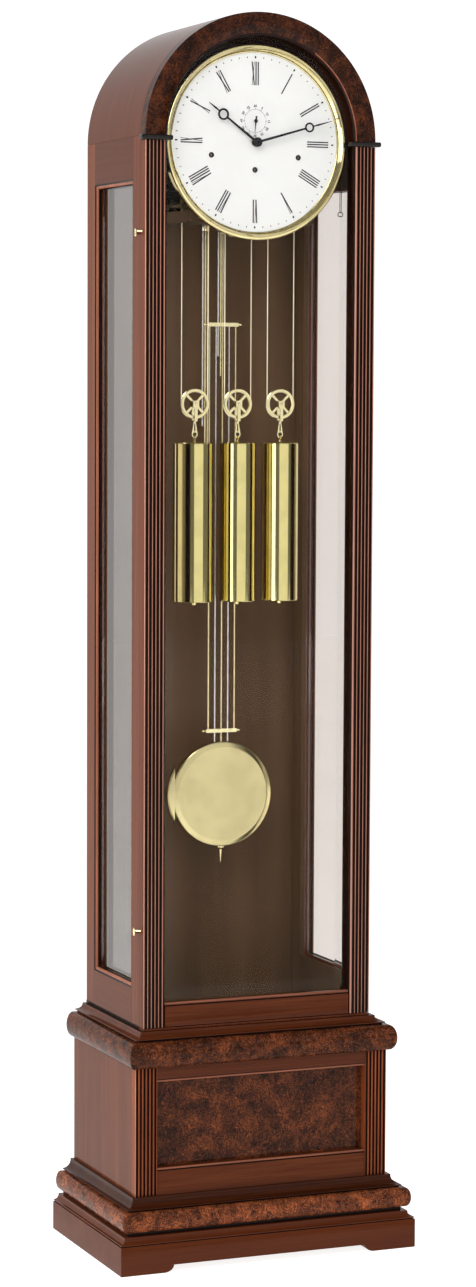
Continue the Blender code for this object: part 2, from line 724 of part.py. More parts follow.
def make_side(name, side):
    """A glazed side frame with its pane; side is -1 on the left and 1 on the right."""
    front_y = depth(DOOR_THICKNESS + DOOR_CLEARANCE)
    inner_x = side * HALF_INSIDE
    outer_x = side * HALF_CASE
    low_x = min(inner_x, outer_x)
    high_x = max(inner_x, outer_x)
    top_z = SPRING_Z - GAP
    frame_low = (low_x, front_y, BASE_TOP_Z + GAP)
    frame = box("trunk_side_" + name, frame_low, (high_x, BACK_Y, top_z), WOOD)
    window_low = (depth(WINDOW_FRONT_DEPTH), WINDOW_BOTTOM_Z)
    window_high = (depth(WINDOW_BACK_DEPTH), WINDOW_TOP_Z)
    margin = SIDE_THICKNESS
    through = box("window_" + name, (low_x - margin, *window_low), (high_x + margin, *window_high))
    pane_outer = outer_x - side * SIDE_PANE_SETBACK
    past_inner = inner_x - side * margin
    rebate_xs = sorted((pane_outer, past_inner))
    rebate_low = (rebate_xs[0], window_low[0] - WINDOW_LAP, window_low[1] - WINDOW_LAP)
    rebate_high = (rebate_xs[1], window_high[0] + WINDOW_LAP, window_high[1] + WINDOW_LAP)
    rebate = box("rebate_" + name, rebate_low, rebate_high)
    slope = bmesh.new()
    rings = []
    mouth = (outer_x + side * GAP, WINDOW_CHAMFER + GAP)
    throat = (outer_x - side * WINDOW_CHAMFER, 0.0)
    for x, spread in (mouth, throat):
        low_y = window_low[0] - spread
        high_y = window_high[0] + spread
        low_z = window_low[1] - spread
        high_z = window_high[1] + spread
        corners = ((low_y, low_z), (high_y, low_z), (high_y, high_z), (low_y, high_z))
        rings.append([slope.verts.new((x, y, z)) for y, z in corners])
    for ring in rings:
        slope.faces.new(ring)
    bmesh.ops.bridge_loops(slope, edges=[edge for edge in slope.edges])
    splay = from_bmesh("splay_" + name, slope, (0, 0, 0), None)
    cut(frame, through, rebate, splay)
    pane_inner = pane_outer - side * SIDE_PANE_THICKNESS
    first = min(pane_outer - side * GAP, pane_inner)
    second = max(pane_outer - side * GAP, pane_inner)
    edge = WINDOW_LAP - GAP
    pane_low = (first, window_low[0] - edge, window_low[1] - edge)
    pane_high = (second, window_high[0] + edge, window_high[1] + edge)
    box("side_glass_" + name, pane_low, pane_high, CLEAR)


def make_hood():
    front_y = depth(DOOR_THICKNESS + DOOR_CLEARANCE)
    roof = [(HALF_CASE, front_y), (HALF_INSIDE, front_y), (HALF_INSIDE, BACK_Y), (HALF_CASE, BACK_Y)]
    half_turned("hood_roof", roof, SPRING_Z, WOOD)
    board_x = HALF_INSIDE - GAP
    outline = [(-board_x, BASE_TOP_Z + GAP), (board_x, BASE_TOP_Z + GAP)]
    outline += arc((0.0, SPRING_Z), board_x, 0, 180, ARCH_STEPS)
    prism("backboard", [outline], "Y", BACK_Y - BACK_THICKNESS, BACK_Y, DARK_WOOD)


# Door


def door_section(inner, outer):
    """Section of the door's frame as (distance from the middle, y), from the back round the front."""
    rebate_y = depth(GLASS_DEPTH) - GAP
    back_y = depth(DOOR_THICKNESS)
    lap = inner + GLASS_LAP
    return [(inner, depth(BEAD)), (inner, rebate_y), (lap, rebate_y), (lap, back_y), (outer, back_y)]


def make_door():
    axis = (HINGE_X, depth(DOOR_THICKNESS), 0)
    back_y = depth(DOOR_THICKNESS)
    collar_low_z = SPRING_Z - GAP - COLLAR_HEIGHT
    section = fluted_face(HALF_CASE, DOOR_Y) + [(OPENING + BEAD, DOOR_Y)]
    section += door_section(OPENING, HALF_CASE)
    sections = {"left": mirrored(section), "right": section}
    for name, side in (("left", -1), ("right", 1)):
        stile_name = "door_stile_" + name
        stile = prism(stile_name, [sections[name]], "Z", DOOR_BOTTOM_Z, SPRING_Z - GAP, WOOD, axis)
        xs = sorted((side * (OPENING - COLLAR_OVERHANG), side * (HALF_CASE + COLLAR_OVERHANG)))
        notch_low = (xs[0] - GAP, depth(-COLLAR_PROJECTION), collar_low_z - GAP)
        notch_high = (xs[1] + GAP, depth(COLLAR_BACK_DEPTH) + GAP, SPRING_Z)
        cut(stile, box("collar_notch_" + name, notch_low, notch_high))
        collar_low = (xs[0], depth(-COLLAR_PROJECTION), collar_low_z)
        collar_high = (xs[1], depth(COLLAR_BACK_DEPTH), SPRING_Z - GAP)
        collar = box("collar_" + name, collar_low, collar_high, LACQUER, axis)
        bevel(collar, COLLAR_ROUND, 3)

    rail_x = OPENING - GAP
    rebate_y = depth(GLASS_DEPTH) - GAP
    rail_section = [
        (DOOR_Y, DOOR_BOTTOM_Z),
        (back_y, DOOR_BOTTOM_Z),
        (back_y, RAIL_TOP_Z - GLASS_LAP),
        (rebate_y, RAIL_TOP_Z - GLASS_LAP),
        (rebate_y, RAIL_TOP_Z),
        (depth(BEAD), RAIL_TOP_Z),
        (DOOR_Y, RAIL_TOP_Z - BEAD),
    ]
    prism("door_rail", [rail_section], "X", -rail_x, rail_x, WOOD, axis)

    ring = [(HALF_CASE, DOOR_Y), (OPENING + BEAD, DOOR_Y)] + door_section(OPENING, HALF_CASE)
    arch = half_turned("door_arch", ring, SPRING_Z, BURL)
    arch.data.transform(Matrix.Translation(-Vector(axis)))
    arch.location = axis

    pane_x = OPENING + GLASS_LAP - GAP
    outline = [(-pane_x, RAIL_TOP_Z - GLASS_LAP + GAP), (pane_x, RAIL_TOP_Z - GLASS_LAP + GAP)]
    outline += arc((0.0, SPRING_Z), pane_x, 0, 180, ARCH_STEPS)
    pane = bmesh.new()
    glass_front = depth(GLASS_DEPTH)
    edge_y = glass_front + GLASS_THICKNESS - GLASS_EDGE
    face = pane.faces.new([pane.verts.new((x, glass_front + GLASS_THICKNESS, z)) for x, z in outline])
    pulled = bmesh.ops.extrude_face_region(pane, geom=[face])["geom"]
    front = [item for item in pulled if isinstance(item, bmesh.types.BMFace)][0]
    for vertex in front.verts:
        vertex.co.y = edge_y
    bmesh.ops.recalc_face_normals(pane, faces=pane.faces)
    rise = GLASS_THICKNESS - GLASS_EDGE
    slope = {"thickness": GLASS_LAP + GLASS_BEVEL, "depth": rise, "use_even_offset": True}
    bmesh.ops.inset_region(pane, faces=[front], **slope)
    from_bmesh("door_glass", pane, axis, CLEAR)


def make_hinges():
    """Small barrel hinges: the case half below, the door half above, each with a leaf to the wood."""
    axis_y = depth(DOOR_THICKNESS)
    side_x = -HALF_CASE - GAP
    for name, z in zip(("lower", "upper"), HINGE_Z):
        for owner, way in (("case", -1), ("door", 1)):
            ball = HINGE_RADIUS * 1.15
            far = HINGE_HALF_LENGTH
            profile = ball_end(ball, far + ball)
            profile += [(HINGE_RADIUS, far), (HINGE_RADIUS, GAP / 2), (0.0, GAP / 2)]
            if way < 0:
                profile = [(radius, -height) for radius, height in reversed(profile)]
            origin = (HINGE_X, axis_y, z)
            half = turned("hinge_%s_%s" % (owner, name), profile, origin, BRASS, steps=SMALL_ROUND)
            leaf_z = z + way * HINGE_HALF_LENGTH / 2
            end_y = axis_y - way * HINGE_LEAF_SHIFT
            leaf = [
                (HINGE_X, axis_y - HINGE_LEAF), (side_x, end_y - HINGE_LEAF),
                (side_x, end_y + HINGE_LEAF), (HINGE_X, axis_y + HINGE_LEAF),
            ]
            fuse(half, prism("hinge_leaf", [leaf], "Z", leaf_z - HINGE_LEAF, leaf_z + HINGE_LEAF))


# Dial and hands


def make_dial():
    holes = [
        circle((0.0, DIAL_Z), CENTRE_HOLE_RADIUS, SMALL_ROUND),
        circle((0.0, SECONDS_Z), SECONDS_HOLE_RADIUS, TINY_ROUND),
    ]
    for index in (-1, 0, 1):
        drum_z = CENTRE_DRUM_Z if index == 0 else SIDE_DRUM_Z
        holes.append(circle((index * WEIGHT_PITCH, drum_z), WINDING_HOLE_RADIUS, SMALL_ROUND))
    plate_radius = DIAL_RADIUS + BEZEL_WIDTH / 2
    back = depth(DIAL_DEPTH + DIAL_THICKNESS)
    rim = circle((0.0, DIAL_Z), plate_radius, LARGE_ROUND)
    feet = []
    for x in (-DIAL_FOOT_X, DIAL_FOOT_X):
        for rise in (-DIAL_FOOT_RISE, DIAL_FOOT_RISE):
            foot = circle((x, DIAL_Z + rise), DIAL_FOOT_RADIUS, TINY_ROUND)
            feet.append((foot, depth(PLATE_FRONT_DEPTH) - GAP))
    posted_plate("dial_plate", [rim] + holes, depth(DIAL_DEPTH), back, feet, WHITE)
    skirt = DIAL_THICKNESS + GAP
    profile = [
        (DIAL_RADIUS + 0.45 * BEZEL_WIDTH, BEZEL_RISE * 0.92),
        (DIAL_RADIUS + 0.80 * BEZEL_WIDTH, BEZEL_RISE),
        (BEZEL_RADIUS, BEZEL_RISE * 0.60),
        (BEZEL_RADIUS, -skirt),
        (plate_radius + GAP, -skirt),
        (plate_radius + GAP, GAP),
        (DIAL_RADIUS, GAP),
        (DIAL_RADIUS, BEZEL_RISE * 0.20),
    ]
    turned("bezel", profile, (0, depth(DIAL_DEPTH), DIAL_Z), BRASS, axis="Y", steps=LARGE_ROUND)


def ring_hand(name, reach, ring_reach, ring_radius, front, angle, hole):
    """A hand with an open ring near its tip, pointing at a clockwise angle from twelve."""
    stem = 0.0021
    neck = 0.0012
    tip = 0.0003
    boss = math.degrees(math.asin(stem / HAND_BOSS_RADIUS))
    low = math.degrees(math.asin(neck * 1.2 / ring_radius))
    high = math.degrees(math.asin(neck / ring_radius))
    outline = arc((0, 0), HAND_BOSS_RADIUS, 90 + boss, 450 - boss, 20)
    outline += arc((0, ring_reach), ring_radius, -90 + low, 90 - high, 8)
    outline += [(tip, reach), (-tip, reach)]
    outline += arc((0, ring_reach), ring_radius, 90 + high, 270 - low, 8)
    outlines = [outline, circle((0, ring_reach), ring_radius - RING_WALL, SMALL_ROUND)]
    outlines.append(circle((0, 0), hole, SMALL_ROUND))
    turn = Matrix.Rotation(angle, 4, "Y")
    shape = prism_shape(outlines, "Y", depth(front), depth(front) + HAND_THICKNESS)
    bmesh.ops.transform(shape, matrix=Matrix.Translation((0, 0, DIAL_Z)) @ turn, verts=shape.verts)
    return from_bmesh(name, shape, (0, depth(front), DIAL_Z), BLUED)


def make_hands():
    minute_angle = 2 * math.pi * (SHOWN_HOUR % 1.0)
    hour_angle = 2 * math.pi * SHOWN_HOUR / 12
    minute_hole = MINUTE_PIPE_RADIUS + GAP
    ring_hand("minute_hand", MINUTE_REACH, MINUTE_RING_REACH, MINUTE_RING_RADIUS, MINUTE_HAND_DEPTH,
              minute_angle, minute_hole)
    ring_hand("hour_hand", HOUR_REACH, HOUR_RING_REACH, HOUR_RING_RADIUS, HOUR_HAND_DEPTH,
              hour_angle, HOUR_PIPE_RADIUS + GAP)
    boss = 0.0030
    root = 0.0009
    tip = 0.0003
    spread = math.degrees(math.asin(root / boss))
    outline = arc((0, 0), boss, -90 + spread, 90 - spread, 6)
    outline += [(tip, SECONDS_REACH), (-tip, SECONDS_REACH)]
    outline += arc((0, 0), boss, 90 + spread, 270 - spread, 6)
    outline += [(-2 * root, -SECONDS_TAIL), (2 * root, -SECONDS_TAIL)]
    outlines = [outline, circle((0, 0), SECONDS_HOLE_RADIUS - 2 * GAP, TINY_ROUND)]
    front_y = depth(SECONDS_HAND_DEPTH)
    shape = prism_shape(outlines, "Y", front_y, front_y + HAND_THICKNESS / 2)
    turn = Matrix.Rotation(2 * math.pi * SHOWN_SECOND / 60, 4, "Y")
    bmesh.ops.transform(shape, matrix=Matrix.Translation((0, 0, SECONDS_Z)) @ turn, verts=shape.verts)
    from_bmesh("seconds_hand", shape, (0, front_y, SECONDS_Z), BLUED)


# Movement


def gear_outline(teeth, module, turn=0.0):
    """Straight-flanked teeth, thinned for backlash, on a pitch radius of half teeth times module."""
    pitch_radius = teeth * module / 2
    tip_radius = pitch_radius + 0.80 * module
    root_radius = pitch_radius - 1.10 * module
    step = 2 * math.pi / teeth
    points = []
    for index in range(teeth):
        corners = ((root_radius, -0.26), (tip_radius, -0.09), (tip_radius, 0.09), (root_radius, 0.26))
        for radius, offset in corners:
            angle = turn + (index + offset) * step
            points.append((radius * math.cos(angle), radius * math.sin(angle)))
    return points


def moved(points, x, z):
    return [(x + across, z + along) for across, along in points]


def wheel(name, outlines, front, thickness, look=None, origin=(0, 0, 0)):
    return prism(name, outlines, "Y", depth(front), depth(front) + thickness, look, origin)


def minute_stud():
    """Where the minute wheel turns, as (x, z): one centre distance from the cannon pinion."""
    distance = CANNON_MODULE * (CANNON_TEETH + MINUTE_TEETH) / 2
    across = distance * math.cos(MINUTE_WHEEL_ANGLE)
    return across, DIAL_Z + distance * math.sin(MINUTE_WHEEL_ANGLE)


def make_plates():
    low_z = SEAT_TOP_Z + GAP
    outline = [
        (-PLATE_HALF_WIDTH, low_z), (PLATE_HALF_WIDTH, low_z),
        (PLATE_HALF_WIDTH, PLATE_TOP_Z), (-PLATE_HALF_WIDTH, PLATE_TOP_Z),
    ]
    arbor_hole = ARBOR_RADIUS + RUNNING_CLEARANCE
    front_holes = [circle((0.0, DIAL_Z), MINUTE_PIPE_RADIUS + RUNNING_CLEARANCE, SMALL_ROUND)]
    front_holes.append(circle((0.0, SECONDS_Z), arbor_hole, SMALL_ROUND))
    for index in (-1, 0, 1):
        drum_z = CENTRE_DRUM_Z if index == 0 else SIDE_DRUM_Z
        corner = SQUARE_HALF * math.sqrt(2) + RUNNING_CLEARANCE
        front_holes.append(circle((index * WEIGHT_PITCH, drum_z), corner, SMALL_ROUND))
    front_end = PLATE_FRONT_DEPTH + PLATE_THICKNESS
    stud = circle(minute_stud(), ARBOR_RADIUS, SMALL_ROUND)
    front_outlines = [outline] + front_holes
    studs = [(stud, depth(HOUR_WHEEL_DEPTH))]
    posted_plate("front_plate", front_outlines, depth(PLATE_FRONT_DEPTH), depth(front_end), studs, BRASS)
    back_hole = circle((0.0, SUSPENSION_Z), arbor_hole, SMALL_ROUND)
    pillar_x = PLATE_HALF_WIDTH - PILLAR_INSET
    posts = []
    for x in (-pillar_x, pillar_x):
        for z in (low_z + PILLAR_INSET, PLATE_TOP_Z - PILLAR_INSET):
            posts.append((circle((x, z), PILLAR_RADIUS, SMALL_ROUND), depth(front_end) + GAP))
    shelf_z = SUSPENSION_Z + SPRING_STRIP * 3 + GAP
    cock_top_z = shelf_z + SPRING_WIDTH
    cock = [
        (-SPRING_WIDTH, shelf_z), (SPRING_WIDTH, shelf_z),
        (SPRING_WIDTH, cock_top_z), (-SPRING_WIDTH, cock_top_z),
    ]
    posts.append((cock, depth(PENDULUM_DEPTH + SPRING_WIDTH / 2)))
    plate_back = depth(PLATE_BACK_DEPTH + PLATE_THICKNESS)
    posted_plate("back_plate", [outline, back_hole], depth(PLATE_BACK_DEPTH), plate_back, posts, BRASS)

    # The seat board's two arms are fixed to the backboard
    seat_x = WEIGHT_PITCH + WIND_RADIUS + SEAT_RIM
    seat_y = depth(SEAT_FRONT_DEPTH)
    arm_y = BACK_Y - BACK_THICKNESS - GAP
    half_seat = [(seat_x, seat_y), (seat_x, arm_y), (SEAT_NOTCH, arm_y), (SEAT_NOTCH, plate_back)]
    seat = [half_seat + mirrored(half_seat)]
    for index in (-1, 0, 1):
        run = (index * WEIGHT_PITCH - WIND_RADIUS, depth(WEIGHT_DEPTH))
        seat.append(circle(run, 5 * CABLE_RADIUS, TINY_ROUND))
    prism("seat_board", seat, "Z", SEAT_BOTTOM_Z, SEAT_TOP_Z, DARK_WOOD)


def make_motion_work():
    """The hands' twelve to one gearing: cannon pinion, minute wheel and hour wheel."""
    axis = (0, depth(MOTION_DEPTH), DIAL_Z)
    hour_module = CANNON_MODULE * (CANNON_TEETH + MINUTE_TEETH) / (PINION_TEETH + HOUR_TEETH)
    stud_x, stud_z = minute_stud()

    arbor_front = MINUTE_HAND_DEPTH - HAND_THICKNESS
    boss_end = MINUTE_HAND_DEPTH - GAP
    arbor_start = (0, depth(arbor_front), DIAL_Z)
    arbor_end = (0, depth(PLATE_BACK_DEPTH) - GAP, DIAL_Z)
    arbor = rod("centre_arbor", arbor_start, arbor_end, MINUTE_PIPE_RADIUS, STEEL, SMALL_ROUND, axis)
    collar = rod("hand_collar", arbor_start, (0, depth(boss_end), DIAL_Z), HAND_BOSS_RADIUS * 0.7)
    toothed = moved(gear_outline(CANNON_TEETH, CANNON_MODULE, MINUTE_WHEEL_ANGLE), 0.0, DIAL_Z)
    pinion = wheel("cannon_pinion", [toothed], MOTION_DEPTH, WHEEL_THICKNESS)
    centre = circle((0.0, DIAL_Z), CENTRE_WHEEL_RADIUS, SMALL_ROUND)
    fuse(arbor, collar, pinion, wheel("centre_wheel", [centre], CENTRE_WHEEL_DEPTH, WHEEL_THICKNESS))

    # The wheel presents a gap to the pinion's tooth on the line between their centres
    facing = MINUTE_WHEEL_ANGLE + math.pi
    half_tooth = math.pi / MINUTE_TEETH
    stud_axis = (stud_x, depth(MOTION_DEPTH), stud_z)
    stud_hole = circle((stud_x, stud_z), ARBOR_RADIUS + RUNNING_CLEARANCE, SMALL_ROUND)
    toothed = moved(gear_outline(MINUTE_TEETH, CANNON_MODULE, facing + half_tooth), stud_x, stud_z)
    minute = wheel("minute_wheel", [toothed, stud_hole], MOTION_DEPTH, WHEEL_THICKNESS, BRASS, stud_axis)
    small = moved(gear_outline(PINION_TEETH, hour_module, facing), stud_x, stud_z)
    length = MOTION_DEPTH - HOUR_WHEEL_DEPTH + WHEEL_THICKNESS / 2
    fuse(minute, wheel("minute_pinion", [small, stud_hole], HOUR_WHEEL_DEPTH, length))

    pipe_hole = circle((0.0, DIAL_Z), MINUTE_PIPE_RADIUS + RUNNING_CLEARANCE, SMALL_ROUND)
    half_tooth = math.pi / HOUR_TEETH
    toothed = gear_outline(HOUR_TEETH, hour_module, MINUTE_WHEEL_ANGLE + half_tooth)
    toothed = moved(toothed, 0.0, DIAL_Z)
    hour_axis = (0, depth(HOUR_WHEEL_DEPTH), DIAL_Z)
    hour = wheel("hour_wheel", [toothed, pipe_hole], HOUR_WHEEL_DEPTH, WHEEL_THICKNESS, BRASS, hour_axis)
    pipe = circle((0.0, DIAL_Z), HOUR_PIPE_RADIUS, SMALL_ROUND)
    pipe_length = HOUR_WHEEL_DEPTH - HOUR_HAND_DEPTH + WHEEL_THICKNESS / 2
    fuse(hour, wheel("hour_pipe", [pipe, pipe_hole], HOUR_HAND_DEPTH, pipe_length))


def make_escapement():
    axis = (0, depth(ESCAPE_DEPTH), SECONDS_Z)
    points = []
    step = 2 * math.pi / ESCAPE_TEETH
    for index in range(ESCAPE_TEETH):
        for radius, offset in ((ESCAPE_RADIUS * 0.80, 0.0), (ESCAPE_RADIUS, 0.35), (ESCAPE_RADIUS, 0.45)):
            angle = (index + offset) * step
            points.append((radius * math.cos(angle), SECONDS_Z + radius * math.sin(angle)))
    escape = wheel("escape_wheel", [points], ESCAPE_DEPTH, WHEEL_THICKNESS / 2, BRASS, axis)
    arbor_front = (0, depth(SECONDS_HAND_DEPTH), SECONDS_Z)
    arbor_radius = SECONDS_HOLE_RADIUS - 3 * GAP
    arbor_back = (0, depth(PLATE_BACK_DEPTH) - GAP, SECONDS_Z)
    fuse(escape, rod("escape_arbor", arbor_front, arbor_back, arbor_radius, steps=TINY_ROUND))

    drop = SUSPENSION_Z - SECONDS_Z
    pallet_x = PALLET_REACH
    pallet_z = -drop + ESCAPE_RADIUS * 0.75
    half = [
        (0.004, 0.004),
        (pallet_x + 0.003, pallet_z + 0.008),
        (pallet_x + 0.002, pallet_z),
        (pallet_x, pallet_z),
        (pallet_x - 0.003, pallet_z + 0.006),
        (0.0, -0.005),
    ]
    outline = half + [(-x, z) for x, z in reversed(half[:-1])]
    axis = (0, depth(PENDULUM_DEPTH), SUSPENSION_Z)
    outline = moved(outline, 0.0, SUSPENSION_Z)
    anchor = wheel("anchor", [outline], ESCAPE_DEPTH, WHEEL_THICKNESS, STEEL, axis)
    arbor_end = PLATE_BACK_DEPTH + PLATE_THICKNESS + CRUTCH_SETBACK
    arbor_start = (0, depth(PLATE_FRONT_DEPTH + PLATE_THICKNESS) + GAP, SUSPENSION_Z)
    arbor_back = (0, depth(arbor_end), SUSPENSION_Z)
    arbor = rod("anchor_arbor", arbor_start, arbor_back, ARBOR_RADIUS, steps=TINY_ROUND)
    crutch_front = arbor_end - CRUTCH_THICKNESS
    foot_z = SUSPENSION_Z - CRUTCH_LENGTH
    half_width = CRUTCH_WIDTH / 2
    crutch_low = (-half_width, depth(crutch_front), foot_z)
    crutch = box("crutch", crutch_low, (half_width, depth(arbor_end), SUSPENSION_Z + half_width))
    fork_x = ROD_RADIUS + RUNNING_CLEARANCE + ARBOR_RADIUS / 2
    bridge_low = (-2 * fork_x, depth(crutch_front), foot_z)
    bridge = box("crutch_bridge", bridge_low, (2 * fork_x, depth(arbor_end), foot_z + CRUTCH_WIDTH))
    fuse(anchor, arbor, crutch, bridge)
    for side in (-1, 1):
        start = (side * fork_x, depth(arbor_end) - GAP * 4, foot_z + half_width)
        end = (side * fork_x, depth(PENDULUM_DEPTH) + ROD_RADIUS, foot_z + half_width)
        fuse(anchor, rod("crutch_pin", start, end, ARBOR_RADIUS / 2, steps=TINY_ROUND))


def make_lever():
    """A strike silencing lever on the front plate, worked by a wire pull with a ring."""
    axis = (LEVER_PIVOT_X, depth(LEVER_DEPTH), LEVER_Z)
    half = LEVER_HALF_WIDTH
    outline = arc((LEVER_PIVOT_X, LEVER_Z), 2 * half, 150, 330, 6)
    shoulder_x = LEVER_END_X - half
    outline += [(shoulder_x, LEVER_Z - half), (LEVER_END_X, LEVER_Z), (shoulder_x, LEVER_Z + half)]
    lever = wheel("silence_lever", [outline], LEVER_DEPTH, LEVER_THICKNESS, STEEL, axis)
    middle = depth(LEVER_DEPTH) + LEVER_THICKNESS / 2
    pivot_start = (LEVER_PIVOT_X, middle, LEVER_Z)
    pivot_end = (LEVER_PIVOT_X, depth(PLATE_FRONT_DEPTH) - GAP, LEVER_Z)
    fuse(lever, rod("lever_pivot", pivot_start, pivot_end, ARBOR_RADIUS, steps=TINY_ROUND))
    wire_x = LEVER_END_X - 2 * half
    ring_z = LEVER_Z - LEVER_DROP + LEVER_RING_RADIUS
    wire_end = (wire_x, middle, ring_z + LEVER_RING_RADIUS - LEVER_WIRE_RADIUS)
    wire_start = (wire_x, middle, LEVER_Z)
    fuse(lever, rod("lever_wire", wire_start, wire_end, LEVER_WIRE_RADIUS, steps=TINY_ROUND))
    profile = []
    for x, z in circle((LEVER_RING_RADIUS, 0.0), LEVER_WIRE_RADIUS, TINY_ROUND):
        profile.append((x, -z))
    fuse(lever, turned("lever_ring", profile, (wire_x, middle, ring_z), axis="Y", steps=SMALL_ROUND))


def make_drum(name, x, z):
    """A cable drum with its great wheel and winding square, turning between the plates."""
    axis = (x, depth(WEIGHT_DEPTH), z)
    barrel = WIND_RADIUS - CABLE_RADIUS - GAP
    half = DRUM_LENGTH / 2
    flange = DRUM_FLANGE_THICKNESS
    wheel_back = half + flange + WHEEL_THICKNESS
    arbor_back = PLATE_BACK_DEPTH - WEIGHT_DEPTH - GAP
    arbor_front = WEIGHT_DEPTH - PLATE_FRONT_DEPTH - PLATE_THICKNESS - GAP
    profile = [
        (0.0, arbor_front), (2 * ARBOR_RADIUS, arbor_front),
        (2 * ARBOR_RADIUS, half + flange), (DRUM_FLANGE, half + flange), (DRUM_FLANGE, half),
        (barrel, half), (barrel, -half), (DRUM_FLANGE, -half),
        (ARBOR_RADIUS, -wheel_back), (ARBOR_RADIUS, -arbor_back), (0.0, -arbor_back),
    ]
    drum = turned("drum_" + name, profile, axis, BRASS, axis="Y", steps=SMALL_ROUND + 2)
    points = []
    step = 2 * math.pi / GREAT_WHEEL_TEETH
    tooth = GREAT_WHEEL_RADIUS * 0.06
    for index in range(GREAT_WHEEL_TEETH):
        for radius, offset in ((GREAT_WHEEL_RADIUS - tooth, 0.0), (GREAT_WHEEL_RADIUS, 0.5)):
            angle = (index + offset) * step
            points.append((x + radius * math.cos(angle), z + radius * math.sin(angle)))
    wheel_front = WEIGHT_DEPTH + half + flange * 0.5
    fuse(drum, wheel("great_wheel", [points], wheel_front, WHEEL_THICKNESS))
    square_front = PLATE_FRONT_DEPTH - SQUARE_LENGTH - GAP
    low = (x - SQUARE_HALF, depth(square_front), z - SQUARE_HALF)
    high = (x + SQUARE_HALF, depth(WEIGHT_DEPTH - arbor_front + PLATE_THICKNESS), z + SQUARE_HALF)
    fuse(drum, box("winding_square", low, high))


# Weights, pulleys and cables


